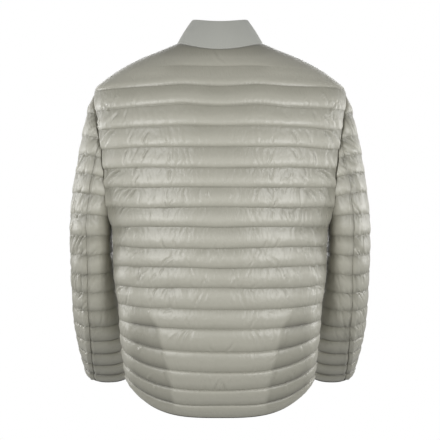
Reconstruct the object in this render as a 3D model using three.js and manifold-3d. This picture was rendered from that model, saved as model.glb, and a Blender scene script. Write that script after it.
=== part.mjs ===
// A light puffer jacket, filled out as on an unseen general figure, in millimetres, +Z up.
// The front faces -Y and the wearer's left is +X. The origin is the middle of the neck
// opening, at the height where the shoulder seams meet the collar.
// Each panel is a wall: a plain inside, and an outside raised between the quilting lines.
import * as THREE from 'three';
import { mergeVertices } from 'three/addons/utils/BufferGeometryUtils.js';
import Module from 'manifold-3d';

const wasm = await Module();
wasm.setup();

// Driving sizes.
const WALL = 2.2; // cloth, filling and lining where a seam presses them flat
const SEAM_GAP = 0.2; // each side of a seam line
const PUFF = { body: 6.8, sleeve: 5 }; // how far a quilted tube stands out over its stitching
const SEAM_PRESS = 13; // how far from a seam the filling is still thin
const CAP_PRESS = 15; // the same over the shoulder point, for each row down
const SQUARENESS = 2.3; // exponent of the body's rings, where 2 is an ellipse
const HEM_ROW = 19; // rows count quilted tubes down from the collar seam
const SHOULDER_ROW = 2;
const CAP_ROW = 2.06; // where the sleeve's first points lie on the armhole
const UNDERARM_ROW = 9;
const CUFF_ROW = 19.25;
const ARMHOLE_REACH = 58; // half the armhole's depth, front to back
const ROW_STEP = 0.25;
const NECK = { half: 86, drop: 82, row: 1.6 };
const NECK_RISE = { middle: 0.36, side: 0.4 }; // how steep the body is across the collar seam
const ARMHOLE_PLANE = point(0.993, 0, -0.118); // the way out of the left armhole
const ARMPIT = { squeeze: 0.92, relief: 0.3, reach: 45, inner: 214, width: 16 };
const COLLAR = {
  wall: 3,
  half: 56,
  rear: 50,
  fore: 62,
  top: 48.8,
  backDrop: 10,
  frontDrop: 75,
  fullness: 1.2,
};
const BINDING = { start: 0.35, end: 3.9, wall: 3.2, proud: 0.5 };
const ZIP_HALF = 4.5;
const ZIP = {
  parting: 0.25, // from the middle to each side's teeth
  bead: 3.9,
  beadTop: 0.8,
  tape: 14,
  tapeWall: 1,
  onBody: -3.2,
  onCollar: -4.2,
};
const SLIDER = {
  below: 9, // from the zip's top end to the pull tab's hinge
  clear: 0.35,
  half: 3.9,
  length: 14,
  plate: 1.6,
  strap: 1.2,
  strapHalf: 1.3,
  leg: 3,
  sunk: 0.4, // how far the strap's legs go into the plate and the strap
};
const TAB = { half: 3.4, eyeHalf: 1.6, eye: 5.2, length: 26, bar: 0.6, wall: 0.5, play: 0.3 };
const TUBE_WIDTH = 38; // between two quilting lines, measured down the cloth
const TUBE_FULLNESS = 0.7; // exponent of a tube's section: less is fuller beside the stitching
const PIN_FADE = 0.8; // rows below the underarm over which the armhole's pull dies out
const SMALL = { row: 0.02, turn: 0.03 }; // steps for measuring which way a surface runs
const BODY_COLUMNS = 8; // from the centre to a side
const UPPER_COLUMNS = 12;
const UNDER_COLUMNS = { back: 5, front: 3 };

// The body's rings. back, side and front are heights, half is half the width,
// rear and fore are the depths behind and before the shoulder line.
const BODY = tableCurve([
  { row: 0, back: -20, side: 0, front: 0, half: 86, rear: 74, fore: 9 },
  { row: 0.25, back: -30, side: -14, front: -14, half: 118, rear: 81, fore: 26 },
  { row: 0.5, back: -39.5, side: -28, front: -28, half: 152, rear: 87, fore: 37 },
  { row: 0.75, back: -49, side: -43, front: -43, half: 182, rear: 92, fore: 46 },
  { row: 1, back: -59, side: -59, front: -59, half: 208, rear: 97, fore: 55 },
  { row: 1.5, back: -79, side: -78, front: -79, half: 233, rear: 106, fore: 71 },
  { row: 2, back: -98.5, side: -95, front: -98, half: 247, rear: 114, fore: 84 },
  { row: 3, back: -137, side: -138, front: -137, half: 250, rear: 125, fore: 104 },
  { row: 4, back: -175.5, side: -177, front: -176, half: 248.5, rear: 131, fore: 115 },
  { row: 5, back: -214, side: -214, front: -214, half: 243.5, rear: 134, fore: 120 },
  { row: 6, back: -253, side: -251, front: -252, half: 239, rear: 135, fore: 122 },
  { row: 7, back: -290, side: -287, front: -289, half: 234.5, rear: 134, fore: 121 },
  { row: 8, back: -327, side: -324, front: -326, half: 226.5, rear: 132, fore: 119 },
  { row: 9, back: -364, side: -362, front: -364, half: 216, rear: 129, fore: 117 },
  { row: 10, back: -402.5, side: -400, front: -402, half: 210.5, rear: 126, fore: 116 },
  { row: 11, back: -440, side: -439, front: -440, half: 210, rear: 124, fore: 115 },
  { row: 12, back: -478.5, side: -477, front: -478, half: 207, rear: 122, fore: 114 },
  { row: 13, back: -519, side: -513, front: -517, half: 201, rear: 121, fore: 113 },
  { row: 14, back: -556, side: -545, front: -553, half: 197, rear: 121, fore: 112 },
  { row: 15, back: -599, side: -574, front: -590, half: 193, rear: 120, fore: 111 },
  { row: 16, back: -637, side: -604, front: -626, half: 189, rear: 117, fore: 109 },
  { row: 17, back: -671, side: -633, front: -659, half: 186, rear: 111, fore: 105 },
  { row: 18, back: -701, side: -657, front: -689, half: 183, rear: 101, fore: 97 },
  { row: 19, back: -726, side: -670, front: -710, half: 181, rear: 88, fore: 87 },
]);

// The sleeve's rings: outer is the outer side's place along X, ahead the middle along Y,
// level the height, and tilt how far the back drops, in degrees.
const SLEEVE = tableCurve([
  { row: 2, outer: 247, ahead: 0, level: -95, tilt: 0 },
  { row: 2.25, outer: 251.5, ahead: -1, level: -104, tilt: 0 },
  { row: 2.5, outer: 254, ahead: -1, level: -113, tilt: 0 },
  { row: 3, outer: 259, ahead: -1, level: -131, tilt: 0 },
  { row: 4, outer: 267.5, ahead: -2, level: -167, tilt: 0 },
  { row: 5, outer: 275, ahead: -3, level: -203, tilt: 0 },
  { row: 6, outer: 281.5, ahead: -5, level: -240, tilt: 0 },
  { row: 7, outer: 288, ahead: -7, level: -277, tilt: 0 },
  { row: 8, outer: 293, ahead: -10, level: -317, tilt: 0 },
  { row: 9, outer: 296.5, ahead: -15, level: -359, tilt: 1 },
  { row: 9.5, outer: 297.5, ahead: -20, level: -378, tilt: 2 },
  { row: 10, outer: 298.5, ahead: -26, level: -396, tilt: 3 },
  { row: 11, outer: 299.5, ahead: -38, level: -432, tilt: 5 },
  { row: 12, outer: 299.5, ahead: -51, level: -468, tilt: 7 },
  { row: 13, outer: 299.5, ahead: -65, level: -503, tilt: 9 },
  { row: 14, outer: 299.5, ahead: -82, level: -537, tilt: 11 },
  { row: 15, outer: 298.5, ahead: -102, level: -569, tilt: 13 },
  { row: 16, outer: 297, ahead: -124, level: -599, tilt: 15 },
  { row: 17, outer: 295, ahead: -147, level: -627, tilt: 17 },
  { row: 18, outer: 292, ahead: -171, level: -654, tilt: 19 },
  { row: 19.25, outer: 289, ahead: -200, level: -684, tilt: 21 },
]);

// Below the underarm: where the ring's inner side lies, and half the ring front to back.
const LOWER_SLEEVE = tableCurve([
  { row: 9, inner: 216, depth: 72 },
  { row: 9.5, inner: 218.5, depth: 72 },
  { row: 10, inner: 219.5, depth: 71.5 },
  { row: 11, inner: 217, depth: 70.5 },
  { row: 12, inner: 213.5, depth: 69 },
  { row: 13, inner: 209, depth: 67 },
  { row: 14, inner: 205.5, depth: 64 },
  { row: 15, inner: 203, depth: 60 },
  { row: 16, inner: 201, depth: 56 },
  { row: 17, inner: 199.5, depth: 51.5 },
  { row: 18, inner: 198.5, depth: 47 },
  { row: 19.25, inner: 198, depth: 42 },
]);

// The two sleeve seams, as degrees round the ring from its outer side.
const BACK_SEAM = {
  start: 4.5,
  angle: tableCurve([
    { row: 4.5, degrees: 107 },
    { row: 5, degrees: 97 },
    { row: 5.5, degrees: 91 },
    { row: 7, degrees: 87 },
    { row: 9, degrees: 86 },
    { row: 11, degrees: 87 },
    { row: 13, degrees: 77 },
    { row: 15.5, degrees: 71 },
    { row: 17.5, degrees: 60 },
    { row: 19.25, degrees: 54 },
  ]),
};
const FRONT_SEAM = {
  start: 7.25,
  angle: tableCurve([
    { row: 7.25, degrees: 134 },
    { row: 9, degrees: 128 },
    { row: 12, degrees: 125 },
    { row: 19.25, degrees: 118 },
  ]),
};

const BODY_LINES = steps(0, HEM_ROW, 1);
const SLEEVE_LINES = [SHOULDER_ROW, 3.25, ...steps(4.5, 18.5, 1), CUFF_ROW];
const BODY_ROWS = sorted([...steps(0, HEM_ROW, ROW_STEP), NECK.row, CAP_ROW]);
const SLEEVE_ROWS = sorted([...steps(2.25, CUFF_ROW, ROW_STEP), CAP_ROW]);

// The plain inside has points only on these rows, and on a panel's first and last.
const NECK_ROWS = [0.25, 0.5, 0.75, 1.25, 1.5, NECK.row];
const ARMHOLE_ROWS = [CAP_ROW, 2.25, 2.5, BACK_SEAM.start, FRONT_SEAM.start, 8.5, 8.75];
const PLAIN_ROWS = [...NECK_ROWS, ...ARMHOLE_ROWS];
const onPlainRow = (row) => row % 1 === 0 || PLAIN_ROWS.includes(row);

// Small tools.

function steps(from, to, step) {
  const count = Math.round((to - from) / step);
  return Array.from({ length: count + 1 }, (_, i) => from + i * step);
}

function sorted(values) {
  return values.sort((a, b) => a - b);
}

// A smooth curve through each column of a table, as a function of its row.
function tableCurve(table) {
  const columns = Object.keys(table[0]).filter((key) => key !== 'row');
  const last = table.length - 1;
  const slope = (a, b, key) => (table[b][key] - table[a][key]) / (table[b].row - table[a].row);
  return (row) => {
    let i = 0;
    while (i < last - 1 && row > table[i + 1].row) i += 1;
    const span = table[i + 1].row - table[i].row;
    const w = (row - table[i].row) / span;
    const result = {};
    for (const key of columns) {
      const leaving = slope(Math.max(i - 1, 0), i + 1, key) * span;
      const arriving = slope(i, Math.min(i + 2, last), key) * span;
      result[key] =
        table[i][key] * (1 + 2 * w) * (1 - w) ** 2 +
        leaving * w * (1 - w) ** 2 +
        table[i + 1][key] * w * w * (3 - 2 * w) -
        arriving * w * w * (1 - w);
    }
    return result;
  };
}

function point(x, y, z) {
  return new THREE.Vector3(x, y, z);
}

// How far the filling stands out at a row, 0 at each quilting line and 1 between two.
function tube(lines, row) {
  let i = 0;
  while (i < lines.length - 2 && row > lines[i + 1] + 1e-9) i += 1;
  const share = (row - lines[i]) / (lines[i + 1] - lines[i]);
  return Math.max(0, Math.sin(Math.PI * share)) ** TUBE_FULLNESS;
}

// The body.

// Half the armhole's opening at a row, front to back: an oval in the side view.
function armholeReach(row) {
  const share = (row - SHOULDER_ROW) / (UNDERARM_ROW - SHOULDER_ROW);
  return 2 * ARMHOLE_REACH * Math.sqrt(Math.max(0, share * (1 - share)));
}

// A point on the body's stitched-down surface. angle runs from 0 at the side to a
// quarter turn at the centre, and rear is true behind the shoulder line.
function bodyPoint(row, angle, rear) {
  const ring = BODY(row);
  const across = Math.max(0, Math.cos(angle)) ** (2 / SQUARENESS);
  const along = Math.max(0, Math.sin(angle)) ** (2 / SQUARENESS);
  const middle = rear ? ring.back : ring.front;
  const bend = 2 + 1.5 * Math.min(1, row);
  const height = middle + (ring.side - middle) * across ** bend;
  return point(ring.half * across, rear ? ring.rear * along : -ring.fore * along, height);
}

// The ring angle where a panel ends: at the armhole, or at the side or shoulder seam.
function outerAngle(row, rear) {
  const ring = BODY(row);
  return Math.asin((armholeReach(row) / (rear ? ring.rear : ring.fore)) ** (SQUARENESS / 2));
}

// The ring angle where a front ends: at the neckline, a quarter oval, or at the zip.
function innerAngle(row) {
  const fall = Math.min(1, -BODY(row).front / NECK.drop);
  const reach = NECK.half * Math.sqrt(1 - fall * fall);
  const x = row >= NECK.row ? ZIP_HALF : Math.max(ZIP_HALF, reach);
  return Math.acos(Math.min(1, x / BODY(row).half) ** (SQUARENESS / 2));
}

function armholePoint(row, rear) {
  return bodyPoint(row, outerAngle(row, rear), rear);
}

// Seam frames: inward is where the wall's thickness goes, apart is the way across the
// seam. Two panels that meet share a frame, so that their end faces stay parallel.

function armholeFrame(row, rear) {
  const above = armholePoint(Math.max(row - SMALL.row, SHOULDER_ROW), rear);
  const below = armholePoint(Math.min(row + SMALL.row, UNDERARM_ROW), rear);
  const along = below.sub(above);
  if (row <= SHOULDER_ROW || row >= UNDERARM_ROW) along.set(0, 1, 0);
  const inward = ARMHOLE_PLANE.clone().cross(along).normalize();
  const middle = point(0, 0, (BODY(SHOULDER_ROW).side + BODY(UNDERARM_ROW).side) / 2);
  const towards = middle.sub(armholePoint(row, rear)).setX(0);
  if (inward.dot(towards) < 0) inward.negate();
  return { inward, apart: ARMHOLE_PLANE };
}

// The side seam below the arm and the shoulder seam above it.
function sideFrame(row) {
  const up = bodyPoint(Math.max(row - SMALL.row, 0), 0, true);
  const down = bodyPoint(Math.min(row + SMALL.row, HEM_ROW), 0, true);
  const inward = down.sub(up).cross(point(0, 1, 0)).normalize();
  if (inward.x > 0) inward.negate();
  return { inward, apart: point(0, 1, 0) };
}

// The collar seam at a neck point: the wall goes down and in, and the body lies outwards.
function neckFrame(at) {
  const out = point(at.x, at.y, 0).normalize();
  const rise = NECK_RISE.middle + NECK_RISE.side * out.x * out.x;
  const inward = out.clone().multiplyScalar(-Math.sqrt(1 - rise * rise)).setZ(-rise);
  const apart = out.clone().multiplyScalar(rise).setZ(-Math.sqrt(1 - rise * rise));
  return { inward, apart };
}

// What an edge vertex of a body panel does: its shift off the seam line and its inward way.
function bodyEdge(row, rear) {
  const shift = point(0, 0, 0);
  const side = sideFrame(row);
  let inward = side.inward;
  if (row <= SHOULDER_ROW || row >= UNDERARM_ROW) shift.addScaledVector(side.apart, rear ? 1 : -1);
  if (row >= SHOULDER_ROW && row <= UNDERARM_ROW) {
    const frame = armholeFrame(row, rear);
    shift.sub(frame.apart);
    inward = frame.inward;
  }
  return { shift, inward };
}

// Walls.

function rowLengths(points) {
  const lengths = [0];
  for (let j = 1; j < points.length; j += 1) {
    lengths.push(lengths[j - 1] + points[j].distanceTo(points[j - 1]));
  }
  return lengths;
}

// The outward way at a grid point, across its neighbours.
function gridNormal(grid, i, j) {
  const [up, down] = [grid[Math.max(i - 1, 0)], grid[Math.min(i + 1, grid.length - 1)]];
  const row = grid[i];
  const along = row[Math.min(j + 1, row.length - 1)].clone().sub(row[Math.max(j - 1, 0)]);
  const fall = down[j].clone().sub(up[j]);
  return fall.cross(along).normalize();
}

// Triangles between two rows of points, each {share, at}. Each next triangle takes in
// the point with the lower share of the two rows' next ones.
function strip(a, b, out) {
  let [i, j] = [0, 0];
  while (i < a.length - 1 || j < b.length - 1) {
    const nextA = i < a.length - 1 ? a[i + 1].share : Infinity;
    const nextB = j < b.length - 1 ? b[j + 1].share : Infinity;
    if (nextA <= nextB) {
      out.push([a[i].at, a[i + 1].at, b[j].at]);
      i += 1;
    } else {
      out.push([a[i].at, b[j + 1].at, b[j].at]);
      j += 1;
    }
  }
}

// One grid of a wall. grid holds the stitched-down surface, a list of points for each
// value of rows, from the top down and anticlockwise seen from above. facing(i, j) gives the
// outward way, lift(i, j, near) how far the outside is raised, and edge(i, j) the shift and
// the inward way of a seam point. continues(side, i) tells where another grid carries on.
function wallGrid(options) {
  const { rows, grid, lift, edge, facing, continues = () => false, thickness = WALL } = options;
  const last = rows.length - 1;
  const columns = grid[0].length - 1;
  const outer = [];
  const inner = [];
  for (let i = 0; i <= last; i += 1) {
    const lengths = rowLengths(grid[i]);
    outer.push([]);
    inner.push([]);
    for (let j = 0; j <= columns; j += 1) {
      const normal = facing ? facing(i, j) : gridNormal(grid, i, j);
      const seam = edge(i, j);
      const at = grid[i][j].clone();
      if (seam) at.addScaledVector(seam.shift, SEAM_GAP);
      const near = Math.min(lengths[j], lengths[columns] - lengths[j]);
      const raised = seam ? 0 : lift(i, j, near);
      const inward = seam ? seam.inward : normal.clone().negate();
      outer[i].push(at.clone().addScaledVector(normal, raised));
      inner[i].push(at.clone().addScaledVector(inward, thickness));
    }
  }
  const all = (count) => Array.from({ length: count + 1 }, (_, n) => n);
  const keptRows = all(last).filter((i) => i === 0 || i === last || onPlainRow(rows[i]));
  const triangles = [];
  for (let i = 0; i < last; i += 1) {
    for (let j = 0; j < columns; j += 1) {
      const [a, b, c, d] = [outer[i][j], outer[i][j + 1], outer[i + 1][j + 1], outer[i + 1][j]];
      triangles.push([a, d, b], [b, d, c]);
    }
  }
  for (let p = 1; p < keptRows.length; p += 1) {
    for (let j = 0; j < columns; j += 1) {
      const [i, k] = [keptRows[p - 1], keptRows[p]];
      const [a, b, c, d] = [inner[i][j], inner[i][j + 1], inner[k][j + 1], inner[k][j]];
      triangles.push([a, b, d], [b, c, d]);
    }
  }
  const fences = [
    { side: 'left', outside: (n) => outer[n][0], inside: (n) => inner[n][0], turned: true },
    { side: 'right', outside: (n) => outer[n][columns], inside: (n) => inner[n][columns], turned: false },
    { side: 'top', outside: (n) => outer[0][n], inside: (n) => inner[0][n], turned: false },
    { side: 'bottom', outside: (n) => outer[last][n], inside: (n) => inner[last][n], turned: true },
  ];
  for (const { side, outside, inside, turned } of fences) {
    const upright = side === 'left' || side === 'right';
    const open = (n) => upright && continues(side, n);
    const few = upright ? keptRows : all(columns);
    const end = few.find(open) ?? few[few.length - 1];
    const place = (cells) => (n) => ({ share: n, at: cells(n) });
    const fence = [];
    strip(all(end).map(place(outside)), few.filter((n) => n <= end).map(place(inside)), fence);
    for (const [a, b, c] of fence) triangles.push(turned ? [a, c, b] : [a, b, c]);
  }
  return triangles;
}

// A mesh of triangles, mirrored to the other side where side is -1.
function solid(name, triangles, material, side = 1) {
  const numbers = [];
  for (const [a, b, c] of triangles) {
    const flat = [a, b, c].some((p, k, all) => p.distanceTo(all[(k + 1) % 3]) < 2e-3);
    if (flat) continue;
    for (const p of side === 1 ? [a, b, c] : [a, c, b]) numbers.push(p.x * side, p.y, p.z);
  }
  const geometry = new THREE.BufferGeometry();
  geometry.setAttribute('position', new THREE.Float32BufferAttribute(numbers, 3));
  geometry.computeVertexNormals();
  const mesh = new THREE.Mesh(geometry, material);
  mesh.name = name;
  return mesh;
}

function pressed(distance) {
  return Math.sqrt(Math.min(1, distance / SEAM_PRESS));
}

// Body panels.

// How much filling is squeezed away at a row where the side and the sleeve lie together.
function armpit(row) {
  const { smoothstep } = THREE.MathUtils;
  const tight = ARMPIT.squeeze - ARMPIT.relief * smoothstep(row, 9.5, 11);
  return smoothstep(row, 6, 9) * tight * (1 - smoothstep(row, 12, 15));
}

function sideSqueeze(row, at) {
  return 1 - armpit(row) * Math.exp(-((at.y / ARMPIT.reach) ** 2));
}

// The yoke is drawn tight over the shoulders, so its tubes are flatter, most near the seam.
function yokeDraw(row, at) {
  const share = Math.abs(at.x) / BODY(row).half;
  const loose = THREE.MathUtils.smoothstep(row, -1.5, 3);
  return loose * (1 - (1 - THREE.MathUtils.smoothstep(row, 1, 3)) * 0.6 * share ** 2);
}

function bodyLift(grid) {
  return (i, j, near) => {
    const [row, at] = [BODY_ROWS[i], grid[i][j]];
    const filled = sideSqueeze(row, at) * yokeDraw(row, at);
    return PUFF.body * tube(BODY_LINES, row) * pressed(near) * filled;
  };
}

// Columns run from the wearer's left to the right.
function backGrid() {
  return BODY_ROWS.map((row) => {
    const end = outerAngle(row, true);
    return steps(-1, 1, 1 / BODY_COLUMNS).map((share) => {
      const angle = Math.PI / 2 - Math.abs(share) * (Math.PI / 2 - end);
      const at = bodyPoint(row, angle, true);
      return at.setX(-Math.sign(share) * at.x);
    });
  });
}

function backPanel() {
  const grid = backGrid();
  const columns = 2 * BODY_COLUMNS;
  const edge = (i, j) => {
    const onSide = j === 0 || j === columns;
    if (!onSide && i > 0) return null;
    const neck = neckFrame(grid[0][j]);
    if (!onSide) return { shift: neck.apart, inward: neck.inward };
    const side = bodyEdge(BODY_ROWS[i], true);
    const mirror = point(j === 0 ? 1 : -1, 1, 1);
    const shift = side.shift.multiply(mirror);
    if (i === 0) return { shift: shift.add(neck.apart), inward: neck.inward };
    return { shift, inward: side.inward.multiply(mirror) };
  };
  return wallGrid({ rows: BODY_ROWS, grid, lift: bodyLift(grid), edge });
}

// Columns run from the neckline or the zip to the side. The first row is one point.
function frontGrid() {
  return BODY_ROWS.map((row) => {
    const from = innerAngle(row);
    const to = outerAngle(row, false);
    return steps(0, 1, 1 / BODY_COLUMNS).map((share) =>
      row === 0 ? bodyPoint(0.02, 0, false) : bodyPoint(row, from + (to - from) * share, false),
    );
  });
}

// The inward way at the centre front, square to the zip.
function zipInward(row) {
  const above = bodyPoint(Math.max(row - ROW_STEP, NECK.row), Math.PI / 2, false);
  const below = bodyPoint(Math.min(row + ROW_STEP, HEM_ROW), Math.PI / 2, false);
  const fall = below.sub(above);
  return point(0, -fall.z, fall.y).normalize();
}

function frontPanel() {
  const grid = frontGrid();
  const edge = (i, j) => {
    const row = BODY_ROWS[i];
    if (j === BODY_COLUMNS || i === 0) return bodyEdge(row, false);
    if (j > 0) return null;
    const neck = neckFrame(grid[i][0]);
    const shift = point(row < NECK.row ? 0 : 1, 0, 0);
    if (row <= NECK.row) shift.add(neck.apart);
    return { shift, inward: row < NECK.row ? neck.inward : zipInward(row) };
  };
  return wallGrid({ rows: BODY_ROWS, grid, lift: bodyLift(grid), edge });
}

// The sleeve.

// How far round its ring the sleeve reaches at a row: half a turn each way below the arm.
function sleeveEnd(row) {
  if (row >= UNDERARM_ROW) return Math.PI;
  const share = (row - SHOULDER_ROW) / (UNDERARM_ROW - SHOULDER_ROW);
  return (Math.PI / 2) * (2 - Math.sqrt(1 - share ** 1.05));
}

// Half the ring across and front to back. Above the underarm they follow the armhole.
function ringHalves(row) {
  const { outer } = SLEEVE(row);
  if (row >= UNDERARM_ROW) {
    const { inner, depth } = LOWER_SLEEVE(row);
    return { half: (outer - inner) / 2, depth };
  }
  const end = sleeveEnd(row);
  const half = (outer - armholePoint(row, true).x) / (1 - Math.cos(end));
  return { half, depth: armholeReach(row) / Math.sin(end) };
}

// A point on the sleeve's ring, before it is drawn to the armhole.
function ringPoint(row, angle) {
  const ring = SLEEVE(row);
  const { half, depth } = ringHalves(row);
  const tilt = THREE.MathUtils.degToRad(ring.tilt);
  const reach = depth * Math.sin(angle);
  return point(
    ring.outer - half + half * Math.cos(angle),
    ring.ahead + reach * Math.cos(tilt),
    ring.level - reach * Math.sin(tilt),
  );
}

// The sleeve's surface: the ring, with its ends pinned to the armhole. Below the
// underarm the pin fades out.
function sleevePoint(row, angle) {
  const rear = angle >= 0;
  const held = Math.min(row, UNDERARM_ROW);
  const end = sleeveEnd(held);
  const pin = armholePoint(held, rear).sub(ringPoint(held, rear ? end : -end));
  const hold = (Math.sin(Math.abs(angle) / 2) / Math.sin(end / 2)) ** 4;
  const fade = Math.exp((held - row) / PIN_FADE);
  return ringPoint(row, angle).addScaledVector(pin, hold * fade);
}

function seamAngle(seam, row) {
  if (row < seam.start) return sleeveEnd(row);
  return Math.min(sleeveEnd(row), THREE.MathUtils.degToRad(seam.angle(row).degrees));
}

// The way across a sleeve seam, from the upper sleeve to the under sleeve.
function acrossSleeve(row, angle) {
  const step = angle > 0 ? SMALL.turn : -SMALL.turn;
  return sleevePoint(row, angle + step).sub(sleevePoint(row, angle - step)).normalize();
}

function sleeveNormal(row, angle) {
  const along = sleevePoint(row, angle + SMALL.turn).sub(sleevePoint(row, angle - SMALL.turn));
  const below = sleevePoint(Math.min(row + SMALL.row, CUFF_ROW), angle);
  const fall = below.sub(sleevePoint(row - SMALL.row, angle));
  return fall.cross(along).normalize();
}

// The first row follows the armhole over the shoulder point.
function capTop(share) {
  const [row] = SLEEVE_ROWS;
  const top = armholePoint(SHOULDER_ROW, true);
  return share < 0.5
    ? armholePoint(row, true).lerp(top, share * 2)
    : top.lerp(armholePoint(row, false), share * 2 - 1);
}

function sleeveSeamEdge(row, angle, toUnder) {
  const across = acrossSleeve(row, angle);
  return {
    shift: toUnder ? across : across.negate(),
    inward: sleeveNormal(row, angle).negate(),
  };
}

function armholeEdge(row, rear) {
  const frame = armholeFrame(row, rear);
  return { shift: frame.apart.clone(), inward: frame.inward };
}

// Columns run from the front seam over the outside to the back seam.
function upperSleeve() {
  const columns = UPPER_COLUMNS;
  const grid = SLEEVE_ROWS.map((row, i) => {
    const back = seamAngle(BACK_SEAM, row);
    const front = -seamAngle(FRONT_SEAM, row);
    return steps(0, 1, 1 / columns).map((share) =>
      i === 0 ? capTop(share) : sleevePoint(row, front + (back - front) * share),
    );
  });
  const edge = (i, j) => {
    const row = SLEEVE_ROWS[i];
    const rear = j > columns / 2;
    if (i === 0) return armholeEdge(j === columns / 2 ? SHOULDER_ROW : row, rear);
    if (j > 0 && j < columns) return null;
    const seam = rear ? BACK_SEAM : FRONT_SEAM;
    if (row < seam.start) return armholeEdge(row, rear);
    const sewn = sleeveSeamEdge(row, rear ? seamAngle(seam, row) : -seamAngle(seam, row), false);
    if (row === seam.start) sewn.shift.add(armholeEdge(row, rear).shift);
    return sewn;
  };
  const lift = (i, j, near) => {
    const fromCap = (SLEEVE_ROWS[i] - SHOULDER_ROW) * CAP_PRESS;
    return PUFF.sleeve * tube(SLEEVE_LINES, SLEEVE_ROWS[i]) * pressed(Math.min(near, fromCap));
  };
  return wallGrid({ rows: SLEEVE_ROWS, grid, lift, edge });
}

// One half of the under sleeve, from its seam to the armhole or to the line under the
// arm, where the other half continues it.
function underHalf(seam, count, rear) {
  const rows = SLEEVE_ROWS.filter((row) => row >= seam.start);
  const sign = rear ? 1 : -1;
  const angles = rows.map((row) => {
    const from = seamAngle(seam, row);
    const turn = sleeveEnd(row) - from;
    const list = steps(0, 1, 1 / count).map((share) => sign * (from + turn * share));
    return rear ? list : list.reverse();
  });
  const grid = rows.map((row, i) => angles[i].map((angle) => sleevePoint(row, angle)));
  const [first, second] = grid;
  const tip = first[0].clone().lerp(second[0].clone().lerp(second[count], 0.5), 0.35);
  grid[0] = first.map(() => tip.clone());
  const seamColumn = rear ? 0 : count;
  const edge = (i, j) => {
    const row = rows[i];
    if (i === 0) return armholeEdge(row, rear);
    if (j === seamColumn) return sleeveSeamEdge(row, sign * seamAngle(seam, row), true);
    if (j === count - seamColumn && row <= UNDERARM_ROW) return armholeEdge(row, rear);
    return null;
  };
  const lift = (i, j) => {
    const lengths = rowLengths(grid[i]);
    const fromSeam = Math.abs(lengths[j] - lengths[seamColumn]);
    const below = Math.max(0, rows[i] - UNDERARM_ROW) * TUBE_WIDTH;
    const fromArmhole = lengths[count] - fromSeam + below;
    const inside = Math.exp(-(((grid[i][j].x - ARMPIT.inner) / ARMPIT.width) ** 2));
    const squeeze = 1 - inside * armpit(rows[i]);
    const full = pressed(Math.min(fromSeam, fromArmhole)) * squeeze;
    return PUFF.sleeve * tube(SLEEVE_LINES, rows[i]) * full;
  };
  const facing = (i, j) => sleeveNormal(rows[i], angles[i][j]);
  const continues = (side, n) => side === (rear ? 'right' : 'left') && rows[n] >= UNDERARM_ROW;
  return wallGrid({ rows, grid, lift, edge, facing, continues });
}

function underSleeve() {
  return [
    ...underHalf(BACK_SEAM, UNDER_COLUMNS.back, true),
    ...underHalf(FRONT_SEAM, UNDER_COLUMNS.front, false),
  ];
}

// The collar stands on the neck seam and narrows to its top edge. Its columns run from
// the wearer's left side of the zip round the back to the right side.
function neckLine() {
  const front = frontGrid();
  const besideNeck = (row) => row > 0 && row <= NECK.row;
  const left = BODY_ROWS.flatMap((row, i) => (besideNeck(row) ? [front[i][0]] : []));
  const right = left.map((p) => p.clone().setX(-p.x));
  return [...left.reverse(), ...backGrid()[0], ...right];
}

function collarTop(base) {
  const back = base.y > 0;
  const turn = Math.atan2(base.y / (back ? BODY(0).rear : NECK.half), base.x / NECK.half);
  const drop = back ? COLLAR.backDrop : COLLAR.frontDrop;
  const x = COLLAR.half * Math.cos(turn);
  const depth = back ? COLLAR.rear : COLLAR.fore;
  const shown = Math.sign(base.x) * Math.max(Math.min(ZIP_HALF, Math.abs(base.x)), Math.abs(x));
  return point(shown, depth * Math.sin(turn), COLLAR.top - drop * Math.sin(turn) ** 2);
}

function collarPanel() {
  const base = neckLine();
  const rows = steps(0, 1, 0.25);
  const foot = rows[rows.length - 1];
  const grid = rows.map((row) => base.map((p) => collarTop(p).lerp(p, row / foot)));
  const last = base.length - 1;
  const edge = (i, j) => {
    const onZip = j === 0 || j === last;
    if (!onZip && rows[i] < foot) return null;
    const shift = point(onZip ? Math.sign(base[j].x) : 0, 0, 0);
    if (rows[i] < foot) {
      return { shift, inward: gridNormal(grid, i, j).setX(0).normalize().negate() };
    }
    const neck = neckFrame(base[j]);
    return { shift: shift.sub(neck.apart), inward: neck.inward };
  };
  const lift = (i) => COLLAR.fullness * Math.sin((Math.PI * rows[i]) / foot);
  return wallGrid({ rows, grid, lift, edge, thickness: COLLAR.wall });
}

// A binding strip that carries on a panel's edge. edgePoints lie on the edge, downs lead
// away from it. A closed strip needs its own outward ways.
function bindingStrip(edgePoints, downs, outward) {
  const rows = [0, 0.5, 1, 1.5];
  const reach = (row) => BINDING.start + ((BINDING.end - BINDING.start) * row) / 1.5;
  const grid = rows.map((row) =>
    edgePoints.map((p, j) => p.clone().addScaledVector(downs[j], reach(row))),
  );
  const ends = (i, j) => {
    if (outward || (j > 0 && j < edgePoints.length - 1)) return null;
    const inward = gridNormal(grid, i, j).setX(0).normalize().negate();
    return { shift: point(Math.sign(edgePoints[j].x), 0, 0), inward };
  };
  return wallGrid({
    rows,
    grid,
    edge: ends,
    lift: (i) => BINDING.proud * Math.sin((Math.PI * (rows[i] + 0.4)) / 2.3),
    facing: outward && ((i, j) => outward[j]),
    continues: () => Boolean(outward),
    thickness: BINDING.wall,
  });
}

function hemBinding() {
  const edgeOf = (grid, row) => grid[BODY_ROWS.indexOf(row)];
  const round = (row) => {
    const front = edgeOf(frontGrid(), row);
    const right = front.map((p) => p.clone().setX(-p.x)).reverse();
    return [...front.slice(0, -1), ...edgeOf(backGrid(), row), ...right.slice(1)];
  };
  const edgePoints = round(HEM_ROW);
  const above = round(HEM_ROW - ROW_STEP);
  return bindingStrip(edgePoints, edgePoints.map((p, j) => p.clone().sub(above[j]).normalize()));
}

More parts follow.
